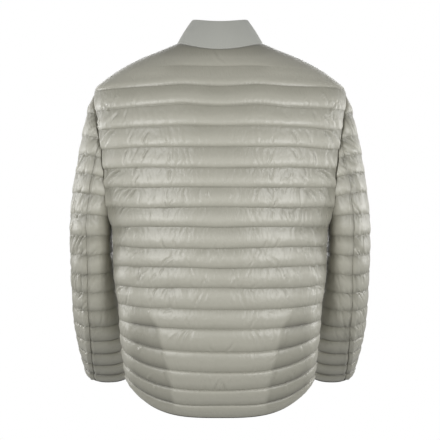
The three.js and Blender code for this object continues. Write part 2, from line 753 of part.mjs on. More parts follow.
function cuffBinding() {
  const back = seamAngle(BACK_SEAM, CUFF_ROW);
  const front = 2 * Math.PI - seamAngle(FRONT_SEAM, CUFF_ROW);
  const arc = (from, to, count) => steps(0, 1, 1 / count).map((share) => from + (to - from) * share);
  const angles = [
    ...arc(front - 2 * Math.PI, back, UPPER_COLUMNS),
    ...arc(back, Math.PI, UNDER_COLUMNS.back).slice(1),
    ...arc(Math.PI, front, UNDER_COLUMNS.front).slice(1),
  ];
  const edgePoints = angles.map((angle) => sleevePoint(CUFF_ROW, angle));
  const downs = angles.map((angle, j) =>
    edgePoints[j].clone().sub(sleevePoint(CUFF_ROW - ROW_STEP, angle)).normalize(),
  );
  return bindingStrip(edgePoints, downs, angles.map((angle) => sleeveNormal(CUFF_ROW, angle)));
}

// The zip. Its path runs down the middle, from the collar's top to the hem.

function zipPath() {
  const base = bodyPoint(NECK.row, Math.PI / 2, false).setX(ZIP_HALF);
  const top = collarTop(base);
  const rows = BODY_ROWS.filter((row) => row > NECK.row && onPlainRow(row));
  const places = [
    { at: top.clone().lerp(base, 0.02), tape: ZIP.onCollar },
    { at: top.clone().lerp(base, 0.5), tape: ZIP.onCollar },
    { at: base, tape: ZIP.onCollar },
    ...rows.map((row) => ({ at: bodyPoint(row, Math.PI / 2, false), tape: ZIP.onBody })),
  ];
  places.forEach(({ at }) => at.setX(0));
  return places.map((place, k) => {
    const above = places[Math.max(k - 1, 0)].at;
    const below = places[Math.min(k + 1, places.length - 1)].at;
    const fall = below.clone().sub(above).normalize();
    return { ...place, out: point(0, fall.z, -fall.y) };
  });
}

// One side of the zip: the row of teeth as a plain bead, on its tape.
function zipSide() {
  const rings = zipPath().map(({ at, out, tape }) =>
    [
      [ZIP.parting, ZIP.beadTop],
      [ZIP.bead, ZIP.beadTop],
      [ZIP.bead, tape],
      [ZIP.tape, tape],
      [ZIP.tape, tape - ZIP.tapeWall],
      [ZIP.parting, tape - ZIP.tapeWall],
    ].map(([x, height]) => at.clone().addScaledVector(out, height).setX(x)),
  );
  const triangles = [];
  const count = rings[0].length;
  for (let i = 0; i < rings.length - 1; i += 1) {
    for (let k = 0; k < count; k += 1) {
      const next = (k + 1) % count;
      const [a, b, c, d] = [rings[i][k], rings[i][next], rings[i + 1][next], rings[i + 1][k]];
      triangles.push([a, d, b], [b, d, c]);
    }
  }
  const section = [[0, 1, 2], [0, 2, 5], [2, 3, 4], [2, 4, 5]];
  const foot = rings[rings.length - 1];
  for (const [a, b, c] of section) {
    triangles.push([a, b, c].map((n) => rings[0][n]), [a, c, b].map((n) => foot[n]));
  }
  return triangles;
}

// Moves a shape to the zip's top end: its origin to the pull tab's hinge, its X across the
// zip, its -Y out of it and its -Z down it.
function sliderFrame() {
  const [first, second] = zipPath();
  const fall = second.at.clone().sub(first.at).normalize();
  const out = point(0, fall.z, -fall.y);
  const hinge = first.at.clone().addScaledVector(fall, SLIDER.below);
  const height = ZIP.beadTop + SLIDER.clear + SLIDER.plate + TAB.play + TAB.bar;
  hinge.addScaledVector(out, height);
  const across = point(1, 0, 0);
  return new THREE.Matrix4().makeBasis(across, out.negate(), fall.negate()).setPosition(hinge);
}

// A box in the slider's frame: half its width, then spans outwards and down from the hinge.
function sliderBox(half, outFrom, outTo, downFrom, downTo) {
  const box = new THREE.BoxGeometry(2 * half, outTo - outFrom, downTo - downFrom);
  return box.translate(0, -(outFrom + outTo) / 2, -(downFrom + downTo) / 2);
}

function manifoldOf(geometry) {
  geometry.deleteAttribute('normal');
  geometry.deleteAttribute('uv');
  const merged = mergeVertices(geometry);
  return new wasm.Manifold(new wasm.Mesh({
    numProp: 3,
    vertProperties: merged.attributes.position.array,
    triVerts: Uint32Array.from(merged.index.array),
  }));
}

// One mesh of several shapes joined, placed in the slider's frame.
function joined(name, shapes, material) {
  const result = shapes.map(manifoldOf).reduce((sum, next) => sum.add(next)).getMesh();
  const geometry = new THREE.BufferGeometry();
  geometry.setAttribute('position', new THREE.BufferAttribute(result.vertProperties, 3));
  geometry.setIndex(new THREE.BufferAttribute(result.triVerts, 1));
  geometry.applyMatrix4(sliderFrame());
  geometry.computeVertexNormals();
  const mesh = new THREE.Mesh(geometry, material);
  mesh.name = name;
  return mesh;
}

// The slider's plate, and the arched strap that holds the pull tab.
function sliderShapes() {
  const arch = TAB.bar + TAB.play;
  const seat = -arch;
  const reach = SLIDER.leg + SLIDER.strap;
  const [low, high] = [seat - SLIDER.sunk, arch + SLIDER.sunk];
  return [
    sliderBox(SLIDER.half, seat - SLIDER.plate, seat, -SLIDER.length / 2, SLIDER.length / 2),
    sliderBox(SLIDER.strapHalf, arch, arch + SLIDER.strap, -reach, reach),
    sliderBox(SLIDER.strapHalf, low, high, -reach, -SLIDER.leg),
    sliderBox(SLIDER.strapHalf, low, high, SLIDER.leg, reach),
  ];
}

// The pull tab: a bar on the hinge line, two arms beside the strap and a flat tongue.
function tabShapes() {
  const bar = new THREE.CylinderGeometry(TAB.bar, TAB.bar, 2 * TAB.half, 12);
  bar.rotateZ(Math.PI / 2);
  const arm = (side) =>
    sliderBox((TAB.half - TAB.eyeHalf) / 2, -TAB.wall, TAB.wall, 0, TAB.eye + 1)
      .translate((side * (TAB.half + TAB.eyeHalf)) / 2, 0, 0);
  const tongue = sliderBox(TAB.half, -TAB.wall, TAB.wall, TAB.eye, TAB.length);
  return [bar, arm(1), arm(-1), tongue];
}

const cloth = (color, roughness) => new THREE.MeshStandardMaterial({ color, roughness, metalness: 0 });
const SHELL = cloth(0xb9b7aa, 0.45);
const KNIT = cloth(0xa7a8a2, 0.9);
const BINDING_CLOTH = cloth(0x8f8d80, 0.8);
const ZIP_CLOTH = cloth(0x9a988b, 0.8);
const METAL = new THREE.MeshStandardMaterial({ color: 0x9b9b98, roughness: 0.35, metalness: 0.9 });

const jacket = new THREE.Group();
jacket.add(solid('back', backPanel(), SHELL));
jacket.add(solid('collar', collarPanel(), KNIT));
jacket.add(solid('hem_binding', hemBinding(), BINDING_CLOTH));
for (const [hand, side] of [['left', 1], ['right', -1]]) {
  jacket.add(solid(`front_${hand}`, frontPanel(), SHELL, side));
  jacket.add(solid(`upper_sleeve_${hand}`, upperSleeve(), SHELL, side));
  jacket.add(solid(`under_sleeve_${hand}`, underSleeve(), SHELL, side));
  jacket.add(solid(`cuff_binding_${hand}`, cuffBinding(), BINDING_CLOTH, side));
  jacket.add(solid(`zip_${hand}`, zipSide(), ZIP_CLOTH, side));
}
jacket.add(joined('zip_slider', sliderShapes(), METAL));
jacket.add(joined('zip_pull', tabShapes(), METAL));

export default jacket;
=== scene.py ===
# %% [markdown]
# # A quilted jacket, filled out with no wearer
#
# The real jacket is thin nylon, stitched through its filling in nineteen channels. The CAD
# frame holds its panels as closed walls on a coarse grid. Here each panel is made again from the
# same sizes on a much finer grid, so that the stitching can gather the cloth as a needle does.

# %% Load the fixed frame
from types import SimpleNamespace

import bpy
import numpy as np
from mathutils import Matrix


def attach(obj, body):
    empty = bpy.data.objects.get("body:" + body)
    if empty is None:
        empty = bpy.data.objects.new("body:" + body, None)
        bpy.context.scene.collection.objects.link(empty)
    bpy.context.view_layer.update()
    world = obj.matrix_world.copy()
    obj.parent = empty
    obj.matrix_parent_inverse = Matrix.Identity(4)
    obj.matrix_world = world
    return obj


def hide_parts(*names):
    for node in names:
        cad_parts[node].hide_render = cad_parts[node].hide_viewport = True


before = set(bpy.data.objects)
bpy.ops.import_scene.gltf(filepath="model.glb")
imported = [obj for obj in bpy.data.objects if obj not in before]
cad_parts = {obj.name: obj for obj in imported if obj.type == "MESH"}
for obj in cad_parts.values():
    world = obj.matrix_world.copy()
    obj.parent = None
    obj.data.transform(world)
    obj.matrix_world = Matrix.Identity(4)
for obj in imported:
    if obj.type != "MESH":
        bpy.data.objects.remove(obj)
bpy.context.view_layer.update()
BODY_NAME = "jacket"  # everything but the pull tab rides on this body
MM = 0.001  # the sizes below are in millimetres, and Blender's unit is a metre
print("frame:", len(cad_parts), "nodes")

# %% [markdown]
# ## The camera
#
# The photograph looks at the back, level with the middle of the jacket, through a long lens.
# A camera looks down its own -Z, so a quarter turn about X levels it, and half a turn about
# Z faces it towards -Y.

# %% The camera
EYE = (0, 2.0, -0.35)
LENS_MM = 81.8  # on a 36 mm sensor, so that 1 px of 440 is 2 mm at the jacket's middle

camera = bpy.data.objects.new("camera", bpy.data.cameras.new("camera"))
camera.data.lens = LENS_MM
camera.data.sensor_width = 36
camera.location = EYE
camera.rotation_euler = (np.pi / 2, 0, np.pi)
bpy.context.collection.objects.link(camera)
bpy.context.scene.camera = camera
print("camera at", EYE)

# %% [markdown]
# ## The garment's sizes
#
# A pattern cutter gives a garment's sizes as a table: one line for each quilting row, one
# column for each measure. Between the lines a smooth curve fills in. A row is one quilted
# channel, counted down from the collar seam.

# %% Tables that turn into smooth curves


def table(names, entries):
    """A function of the row that gives each named column. Between two entries it is a cubic,
    and its slope at an entry is that of the straight line between the entry's neighbours."""
    names = names.split()
    values = np.array(entries, float)
    knots = values[:, 0]
    last = len(knots) - 1
    after = np.minimum(np.arange(last + 1) + 1, last)
    before = np.maximum(np.arange(last + 1) - 1, 0)
    slopes = (values[after] - values[before]) / (knots[after] - knots[before])[:, None]

    def at(row):
        row = np.asarray(row, float)
        i = np.clip(np.searchsorted(knots, row, side="right") - 1, 0, last - 1)
        span = (knots[i + 1] - knots[i])[..., None]
        w = (row - knots[i])[..., None] / span
        found = (
            values[i] * (1 + 2 * w) * (1 - w) ** 2
            + slopes[i] * span * w * (1 - w) ** 2
            + values[i + 1] * w * w * (3 - 2 * w)
            - slopes[i + 1] * span * w * w * (1 - w)
        )
        return SimpleNamespace(**{name: found[..., k] for k, name in enumerate(names)})

    return at


def smooth(low, high, value):
    """A soft step from 0 to 1 between two values."""
    w = np.clip((value - low) / (high - low), 0, 1)
    return w * w * (3 - 2 * w)


# %% The body's rings: three heights, half the width, and the depths behind and before
body_ring = table(
    "row back side front half rear fore",
    [
        (0, -20, 0, 0, 86, 74, 9),
        (0.25, -30, -14, -14, 118, 81, 26),
        (0.5, -39.5, -28, -28, 152, 87, 37),
        (0.75, -49, -43, -43, 182, 92, 46),
        (1, -59, -59, -59, 208, 97, 55),
        (1.5, -79, -78, -79, 233, 106, 71),
        (2, -98.5, -95, -98, 247, 114, 84),
        (3, -137, -138, -137, 250, 125, 104),
        (4, -175.5, -177, -176, 248.5, 131, 115),
        (5, -214, -214, -214, 243.5, 134, 120),
        (6, -253, -251, -252, 239, 135, 122),
        (7, -290, -287, -289, 234.5, 134, 121),
        (8, -327, -324, -326, 226.5, 132, 119),
        (9, -364, -362, -364, 216, 129, 117),
        (10, -402.5, -400, -402, 210.5, 126, 116),
        (11, -440, -439, -440, 210, 124, 115),
        (12, -478.5, -477, -478, 207, 122, 114),
        (13, -519, -513, -517, 201, 121, 113),
        (14, -556, -545, -553, 197, 121, 112),
        (15, -599, -574, -590, 193, 120, 111),
        (16, -637, -604, -626, 189, 117, 109),
        (17, -671, -633, -659, 186, 111, 105),
        (18, -701, -657, -689, 183, 101, 97),
        (19, -726, -670, -710, 181, 88, 87),
    ],
)

# %% The sleeve's rings: the outer side's place, the middle's, the height and the tilt
sleeve_ring = table(
    "row outer ahead level tilt",
    [
        (2, 247, 0, -95, 0),
        (2.25, 251.5, -1, -104, 0),
        (2.5, 254, -1, -113, 0),
        (3, 259, -1, -131, 0),
        (4, 267.5, -2, -167, 0),
        (5, 275, -3, -203, 0),
        (6, 281.5, -5, -240, 0),
        (7, 288, -7, -277, 0),
        (8, 293, -10, -317, 0),
        (9, 296.5, -15, -359, 1),
        (9.5, 297.5, -20, -378, 2),
        (10, 298.5, -26, -396, 3),
        (11, 299.5, -38, -432, 5),
        (12, 299.5, -51, -468, 7),
        (13, 299.5, -65, -503, 9),
        (14, 299.5, -82, -537, 11),
        (15, 298.5, -102, -569, 13),
        (16, 297, -124, -599, 15),
        (17, 295, -147, -627, 17),
        (18, 292, -171, -654, 19),
        (19.25, 289, -200, -684, 21),
    ],
)
lower_sleeve = table(
    "row inner depth",
    [
        (9, 216, 72),
        (9.5, 218.5, 72),
        (10, 219.5, 71.5),
        (11, 217, 70.5),
        (12, 213.5, 69),
        (13, 209, 67),
        (14, 205.5, 64),
        (15, 203, 60),
        (16, 201, 56),
        (17, 199.5, 51.5),
        (18, 198.5, 47),
        (19.25, 198, 42),
    ],
)

# %% The two sleeve seams, in degrees round the ring from its outer side
BACK_SEAM_START = 4.5
back_seam = table(
    "row degrees",
    [
        (4.5, 107),
        (5, 97),
        (5.5, 91),
        (7, 87),
        (9, 86),
        (11, 87),
        (13, 77),
        (15.5, 71),
        (17.5, 60),
        (19.25, 54),
    ],
)
FRONT_SEAM_START = 7.25
front_seam = table("row degrees", [(7.25, 134), (9, 128), (12, 125), (19.25, 118)])

# %% The single sizes
WALL = 2.2  # how far the inside lies under the plain surface
SEAM_GAP = 0.16  # each side of a seam line
SEAM_PRESS = 7  # how far from a seam the filling is still thin
SEAM_FILL = 0.4  # the share of filling at a seam whose two panels lie flat together
EDGE_RIDGE = SimpleNamespace(rise=0.22, place=7, width=4)  # the filling crowds beside a seam
EDGE_SHADE = 14  # how far from a seam painted shade darkens the pressed cloth
SEAM_WANDER = 1.0  # degrees by which a sleeve seam strays either way
GROOVE = 1.3  # half the width of the painted shade line along each line of stitching
NOTCH = SimpleNamespace(floor=0.38, depth=0.13, width=1.2)  # shares of the puff, and millimetres
SQUARENESS = 2.3  # exponent of the body's rings, where 2 is an ellipse
SLEEVE_SQUARING = 0.4  # added to the exponent of a sleeve's ring on its inner side
TUBE_WIDTH = 38  # between two quilting lines, down the cloth
HEM_ROW, SHOULDER_ROW, UNDERARM_ROW, CUFF_ROW = 19, 2, 9, 19.25
ARMHOLE_REACH = 58  # half the armhole's depth, front to back
NECK = SimpleNamespace(half=86, drop=82, row=1.6)
ZIP_HALF = 4.5
PIN_FADE = 0.8  # rows below the underarm over which the armhole's pull on the sleeve dies out
PUFF = SimpleNamespace(body=6.8, sleeve=5.6)  # how far a tube's crown stands over the plain surface

BODY_LINES = np.arange(0.0, HEM_ROW + 1)
SLEEVE_LINES = np.array([SHOULDER_ROW, 3.25, *np.arange(4.5, 19), CUFF_ROW])
print("quilting lines:", len(BODY_LINES), "on the body and", len(SLEEVE_LINES), "on a sleeve")

# %% Uneven values
GRAIN = 257  # the noise repeats after this many steps, further than any panel is wide


def noise(u, v, seed):
    """Uneven values from -1 to 1: seeded random numbers on the whole-numbered points of a
    plane, blended between them along a smooth step each way."""
    lattice = np.random.default_rng(seed).uniform(-1, 1, (GRAIN, GRAIN))
    u, v = np.broadcast_arrays(u, v)
    i, j = np.floor(u).astype(int), np.floor(v).astype(int)
    s, t = ((w * w * (3 - 2 * w)) for w in (u - i, v - j))
    near, far = lattice[i % GRAIN, j % GRAIN], lattice[i % GRAIN, (j + 1) % GRAIN]
    near_next, far_next = lattice[(i + 1) % GRAIN, j % GRAIN], lattice[(i + 1) % GRAIN, (j + 1) % GRAIN]
    return (near * (1 - s) + near_next * s) * (1 - t) + (far * (1 - s) + far_next * s) * t


# %% [markdown]
# ## The surfaces
#
# A ring of the body is a superellipse, an ellipse with slightly squared corners. Its angle
# runs from 0 at the side to a quarter turn at the middle. All the functions below take whole
# arrays of rows and angles and give whole arrays of points, so there is no loop over points.

# %% The body's surface


def body_point(row, angle, rear):
    """A point of the plain surface under the quilting. x is the half width times a power of the
    cosine, y the depth times the same power of the sine, and the height changes to the side."""
    ring = body_ring(row)
    across = np.maximum(0, np.cos(angle)) ** (2 / SQUARENESS)
    along = np.maximum(0, np.sin(angle)) ** (2 / SQUARENESS)
    middle = ring.back if rear else ring.front
    height = middle + (ring.side - middle) * across ** (2 + 1.5 * np.minimum(1, row))
    depth = ring.rear * along if rear else -ring.fore * along
    return np.stack(np.broadcast_arrays(ring.half * across, depth, height), axis=-1)


def armhole_reach(row):
    """Half the armhole's opening, front to back: an oval in the side view."""
    share = (row - SHOULDER_ROW) / (UNDERARM_ROW - SHOULDER_ROW)
    return 2 * ARMHOLE_REACH * np.sqrt(np.maximum(0, share * (1 - share)))


def outer_angle(row, rear):
    """The angle where a panel ends, at the armhole or at the side or shoulder seam."""
    ring = body_ring(row)
    return np.arcsin((armhole_reach(row) / (ring.rear if rear else ring.fore)) ** (SQUARENESS / 2))


def inner_angle(row):
    """The angle where a front ends: at the neckline, a quarter oval, or at the zip."""
    fall = np.minimum(1, -body_ring(row).front / NECK.drop)
    reach = np.maximum(ZIP_HALF, NECK.half * np.sqrt(np.maximum(0, 1 - fall * fall)))
    x = np.where(row >= NECK.row, ZIP_HALF, reach)
    return np.arccos(np.minimum(1, x / body_ring(row).half) ** (SQUARENESS / 2))


def armhole_point(row, rear):
    return body_point(row, outer_angle(row, rear), rear)


# %% The sleeve's surface


def sleeve_end(row):
    """How far round its ring the sleeve reaches: half a turn each way below the arm."""
    share = np.clip((row - SHOULDER_ROW) / (UNDERARM_ROW - SHOULDER_ROW), 0, 1)
    return (np.pi / 2) * (2 - np.sqrt(1 - share**1.05))


def ring_point(row, angle):
    """A point on the sleeve's elliptic ring, tilted as the sleeve swings forwards. Above the
    underarm the ring's halves follow the armhole."""
    ring = sleeve_ring(row)
    end = sleeve_end(row)
    upper = np.minimum(row, UNDERARM_ROW)
    low = lower_sleeve(np.maximum(row, UNDERARM_ROW))
    with np.errstate(divide="ignore", invalid="ignore"):
        above = (ring.outer - armhole_point(upper, True)[..., 0]) / (1 - np.cos(end))
        reach = armhole_reach(upper) / np.sin(end)
    half = np.where(row >= UNDERARM_ROW, (ring.outer - low.inner) / 2, above)
    depth = np.where(row >= UNDERARM_ROW, low.depth, reach)
    tilt = np.radians(ring.tilt)
    inside = np.abs(angle) > np.pi / 2
    power = 2 / np.where(inside, 2 + SLEEVE_SQUARING * smooth(UNDERARM_ROW, 9.9, row), 2)
    out = depth * np.sign(np.sin(angle)) * np.abs(np.sin(angle)) ** power
    x = ring.outer - half + half * np.sign(np.cos(angle)) * np.abs(np.cos(angle)) ** power
    return np.stack([x, ring.ahead + out * np.cos(tilt), ring.level - out * np.sin(tilt)], axis=-1)


def sleeve_point(row, angle):
    """The ring with its ends pinned to the armhole. Below the underarm the pin fades out."""
    row, angle = np.broadcast_arrays(np.asarray(row, float), angle)
    rear = angle >= 0
    held = np.minimum(row, UNDERARM_ROW)
    end = sleeve_end(held)
    armhole = np.where(rear[..., None], armhole_point(held, True), armhole_point(held, False))
    pin = armhole - ring_point(held, np.where(rear, end, -end))
    hold = (np.sin(np.abs(angle) / 2) / np.sin(end / 2)) ** 4
    return ring_point(row, angle) + pin * (hold * np.exp((held - row) / PIN_FADE))[..., None]


def seam_angle(seam, start, row):
    """A sleeve seam's angle, or the armhole's above the seam's upper end."""
    wander = SEAM_WANDER * noise(row * 1.7, 0.0, 33) * smooth(start + 0.5, start + 2, row)
    degrees = seam(np.maximum(row, start)).degrees + wander
    return np.where(row < start, sleeve_end(row), np.minimum(sleeve_end(row), np.radians(degrees)))


# %% [markdown]
# ## Gathers
#
# A needle pulls quilted cloth together a little with each stitch, so short creases stand
# across every seam and die out towards the middle of the tube. Random noise, always the same
# for the same seed, gives them uneven lengths, depths and distances. A crease is where the noise
# crosses zero: one minus its size, raised to a power, is a narrow valley between broad hills.

# %% Valleys in the noise


def valleys(u, v, seed, sharp=4):
    """Creases from 0 to 1: narrow valleys where the noise crosses zero."""
    return (1 - np.abs(noise(u, v, seed))) ** sharp


# %% Rows, channels, lengths and ways
STEPS = 16  # grid rows in each channel, closer beside the stitching
CROWDING = 0.11  # how far the rows move towards the stitching, as a share of the channel
STRIDE = 4  # the plain inside has every fourth point each way


def rows_through(marks):
    """Row values from mark to mark, sixteen steps each, crowded towards the marks."""
    share = np.arange(STEPS) / STEPS
    eased = share - CROWDING * np.sin(2 * np.pi * share)
    marks = np.asarray(marks, float)
    steps = marks[:-1, None] + np.diff(marks)[:, None] * eased
    return np.r_[steps.ravel(), marks[-1]]


def channel(lines, row):
    """The channel's number at a row, and the share of its height from 0 to 1."""
    place = np.interp(row, lines, np.arange(len(lines)))
    number = np.minimum(np.floor(place), len(lines) - 2)
    return number, place - number


def arc_lengths(grid):
    """Each point's distance along its row from the first column."""
    steps = np.linalg.norm(np.diff(grid, axis=1), axis=-1)
    return np.concatenate([np.zeros((len(grid), 1)), np.cumsum(steps, axis=1)], axis=1)


def line_lengths(line):
    """Each point's distance along a single line from its first point."""
    return np.r_[0, np.cumsum(np.linalg.norm(np.diff(line, axis=0), axis=1))]


def unit(way):
    return way / np.maximum(np.linalg.norm(way, axis=-1, keepdims=True), 1e-12)


def normals_of(grid):
    """The outward way at each point: across the ways the rows and the columns run."""
    fall, along = np.gradient(grid, axis=0), np.gradient(grid, axis=1)
    out = np.cross(fall, along)
    length = np.linalg.norm(out, axis=-1, keepdims=True)
    out = out / np.maximum(length, 1e-12)
    flat = length[..., 0] < 1e-9
    out[0] = np.where(flat[0][:, None], out[1], out[0])
    return out


# Short gathers start just off a line of stitching. Each family has its slant and its spacing.
GATHER = SimpleNamespace(reach=8.5, stray=5, start=0.9, fade=1.6, level=0.35, depth=0.8)
FAMILIES = ((0.45, 5.4), (-0.45, 4.7))
# Long gathers run right across the tube, where their own noise is above minus offset.
LONG = SimpleNamespace(slant=0.3, spacing=10, offset=0.1, roundness=0.4, depth=2.0)


def gathers(across, number, share, height, strength, lean, seed):
    """Depths of the creases beside the stitching, in millimetres. From each line of stitching
    two families fan out, one to each side, so that some meet as a V. Their length follows a
    noise of its own, and a few run right across the tube. lean slants them all. The uneven
    multiples of number keep one channel's noise apart from the next one's."""
    fine = 0.0
    for gap, side in ((share * height, 0.0), ((1 - share) * height, 0.5)):
        line = number + side
        reach = GATHER.reach + GATHER.stray * noise(across / 19, line * 3.3, seed + 5)
        beside = (1 - np.exp(-gap / GATHER.start)) * np.exp(-((gap / reach) ** GATHER.fade))
        up = 1 - 4 * side
        for way, (fan, spacing) in enumerate(FAMILIES):
            place = across + (fan + lean) * gap * up
            creases = valleys(place / spacing, line * 7.31 + gap / 60, seed + way, 2)
            fine = fine + beside * (creases - GATHER.level) * GATHER.depth
    slant = across + lean * (share - 0.5) * height
    whole = 0.0
    for way, fan in enumerate((LONG.slant, -LONG.slant)):
        place = slant + fan * (share - 0.5) * height
        through = valleys(place / LONG.spacing, number * 3.7 + share * 0.9, seed + 2 + way, 3)
        uneven = noise(across / 32, number * 1.9 + share * 0.5, seed + 6 + way)
        whole = whole + through * np.clip(uneven + LONG.offset, 0, 1)
    whole = whole * np.sin(np.pi * np.clip(share, 0, 1)) ** LONG.roundness * LONG.depth
    return strength * (fine * (0.9 + 0.6 * noise(across / 40, number * 2.3, seed + 4)) + whole)


CREASE_SCALE = SimpleNamespace(width=0.8, depth=1.6)  # applied to the two tables of creases below


def hand_creases(entries, x, row):
    """Depths of the listed creases, in millimetres. Each is a soft trough along the
    line between its two ends, with its middle bowed out by a tenth of its length: a bell curve
    across it, less a wider and lower one that leaves a shoulder each side, and a rounded step
    along it. A depth below zero gives a ridge."""
    down = row * TUBE_WIDTH
    total = np.zeros(np.broadcast(x, row).shape)
    for x1, row1, x2, row2, width, depth in entries:
        run, fall = x2 - x1, (row2 - row1) * TUBE_WIDTH
        length = np.hypot(run, fall)
        along = ((x - x1) * run + (down - row1 * TUBE_WIDTH) * fall) / length**2
        off = ((x - x1) * fall - (down - row1 * TUBE_WIDTH) * run) / length
        off = off + 0.10 * length * (4 * (along - 0.5) ** 2 - 1)
        ends = smooth(-0.12, 0.22, along) * (1 - smooth(0.78, 1.12, along))
        slim = width * CREASE_SCALE.width
        bell = np.exp(-((off / slim) ** 2)) - 0.4 * np.exp(-((off / slim / 2.3) ** 2))
        total += CREASE_SCALE.depth * depth * ends * bell
    return total


def fullness(across, number, seed):
    """Uneven filling along a tube, as a share of its height."""
    broad = noise(across / 95, number * 3.1, seed)
    narrow = noise(across / 38, number * 2.7, seed + 1)
    return 1 + 0.10 * broad + 0.06 * narrow


# %% [markdown]
# ## From grid to mesh
#
# A panel is a closed wall. The outside is the fine grid, the inside has every fourth point,
# and a strip of triangles joins the two all round. Points that fall together, as at the tip
# of an under sleeve, are made one.

# %% The closed wall


def grid_faces(count_down, count_along, start=0):
    """Two triangles for each cell of a grid, seen from outside."""
    index = start + np.arange(count_down * count_along).reshape(count_down, count_along)
    a, b, c, d = index[:-1, :-1], index[:-1, 1:], index[1:, 1:], index[1:, :-1]
    return np.concatenate([np.stack([a, d, b], -1).reshape(-1, 3), np.stack([b, d, c], -1).reshape(-1, 3)])


def ladder(near, far):
    """Two triangles between each two neighbours of two lines of point numbers."""
    return np.concatenate(
        [np.stack([near[:-1], near[1:], far[:-1]], -1), np.stack([near[1:], far[1:], far[:-1]], -1)]
    )


def rim_faces(fine, coarse):
    """Triangles between a fine edge and a coarse one with every fourth point."""
    count = len(coarse) - 1
    cell = np.arange(count)
    parts = []
    for m in range(STRIDE):
        near = coarse[cell] if m < STRIDE // 2 else coarse[cell + 1]
        parts.append(np.stack([fine[cell * STRIDE + m], fine[cell * STRIDE + m + 1], near], -1))
    parts.append(np.stack([fine[cell * STRIDE + STRIDE // 2], coarse[cell + 1], coarse[cell]], -1))
    return np.concatenate(parts)


def wall_of(outer, inner, open_left=None, open_right=None):
    """The points and triangles of a closed wall. open_left and open_right are the row index
    from which another grid carries on, where there is no rim."""
    down, along = outer.shape[:2]
    inner = inner[::STRIDE, ::STRIDE]
    outside = np.arange(down * along).reshape(down, along)
    inside = down * along + np.arange(inner.shape[0] * inner.shape[1]).reshape(inner.shape[:2])
    faces = [grid_faces(down, along), grid_faces(*inner.shape[:2], start=down * along)[:, ::-1]]
    left = down if open_left is None else open_left + 1
    right = down if open_right is None else open_right + 1
    faces.append(rim_faces(outside[:left, 0], inside[: (left - 1) // STRIDE + 1, 0])[:, ::-1])
    faces.append(rim_faces(outside[:right, -1], inside[: (right - 1) // STRIDE + 1, -1]))
    faces.append(rim_faces(outside[0], inside[0]))
    faces.append(rim_faces(outside[-1], inside[-1])[:, ::-1])
    points = np.concatenate([outer.reshape(-1, 3), inner.reshape(-1, 3)])
    return points, np.concatenate(faces)


def strided(values):
    """A value for each point of a wall, from one for each point of its outside grid."""
    coarse = values[::STRIDE, ::STRIDE]
    trailing = values.shape[2:]
    return np.concatenate([values.reshape(-1, *trailing), coarse.reshape(-1, *trailing)])


def mesh_piece(name, points, faces, material, uv=None, shade_paint=None, mirror=False, smooth_shading=True):
    """Puts points in millimetres and triangles into a mesh, merging points that coincide."""
    points = points * MM
    if mirror:
        points = points * (-1, 1, 1)
        faces = faces[:, ::-1]
    _, first, merged = np.unique(np.round(points, 7), axis=0, return_index=True, return_inverse=True)
    merged = merged.ravel()
    corners = merged[faces]
    whole = np.all(corners != np.roll(corners, -1, axis=1), axis=1)
    faces, corners = faces[whole], corners[whole]
    mesh = bpy.data.meshes.new(name)
    mesh.vertices.add(len(first))
    mesh.vertices.foreach_set("co", points[first].astype(np.float32).ravel())
    mesh.loops.add(corners.size)
    mesh.loops.foreach_set("vertex_index", corners.astype(np.int32).ravel())
    mesh.polygons.add(len(corners))
    mesh.polygons.foreach_set("loop_start", np.arange(0, corners.size, 3, dtype=np.int32))
    mesh.polygons.foreach_set("use_smooth", np.full(len(corners), smooth_shading))
    if uv is not None:
        layer = mesh.uv_layers.new(name="cloth")
        layer.data.foreach_set("uv", (uv[faces] * MM).astype(np.float32).ravel())
    # The painted shade and painted highlight values become a point attribute that the cloth's colour
    # reads.
    if shade_paint is not None:
        attribute = mesh.attributes.new("shade_paint", "FLOAT", "POINT")
        attribute.data.foreach_set("value", shade_paint[first].astype(np.float32))
    mesh.update()
    mesh.materials.append(material)
    piece = bpy.data.objects.new(name, mesh)
    bpy.context.collection.objects.link(piece)
    print(f"{name}: {len(first)} points, {len(corners)} triangles")
    return piece


# %% [markdown]
# ## Materials
#
# Each is a Principled BSDF fed by a few pattern nodes. One function adds a node with its
# settings and its links.

# %% Node helpers


def linear(code):
    """An sRGB hex colour as linear red, green, blue and alpha."""
    values = np.array([int(code[k : k + 2], 16) for k in (0, 2, 4)]) / 255
    curved = np.where(values <= 0.04045, values / 12.92, ((values + 0.055) / 1.055) ** 2.4)
    return (*curved, 1.0)


def add(material, kind, links=None, **settings):
    """Adds a node. settings set its properties, and links its inputs, by name or number: a
    socket is linked, and a value is set."""
    node = material.node_tree.nodes.new(kind)
    for name, value in settings.items():
        setattr(node, name, value)
    for name, value in (links or {}).items():
        if isinstance(value, bpy.types.NodeSocket):
            material.node_tree.links.new(value, node.inputs[name])
        else:
            node.inputs[name].default_value = value
    return node


def new_material(name):
    """An empty material, its Principled BSDF and its output."""
    material = bpy.data.materials.new(name)
    material.use_nodes = True
    material.node_tree.nodes.clear()
    shader = add(material, "ShaderNodeBsdfPrincipled")
    add(material, "ShaderNodeOutputMaterial", {"Surface": shader.outputs[0]})
    return material, shader


def ramp(material, fac, stops):
    """A colour ramp from (place, hex colour) stops."""
    node = add(material, "ShaderNodeValToRGB", {"Fac": fac})
    elements = node.color_ramp.elements
    for place, _ in stops[2:]:
        elements.new(place)
    for element, (place, code) in zip(elements, sorted(stops)):
        element.position = place
        element.color = linear(code)
    return node.outputs["Color"]


# %% Patterns that the materials share
# All lengths in them are metres. Straight waves lie 0.314 / scale apart across one axis.


def cloth_place(material):
    return add(material, "ShaderNodeUVMap", uv_map="cloth").outputs["UV"]


def mottled(material, place, scale, detail, **others):
    """The grey value of a noise texture."""
    inputs = {"Vector": place, "Scale": scale, "Detail": detail, **others}
    return add(material, "ShaderNodeTexNoise", inputs).outputs["Fac"]


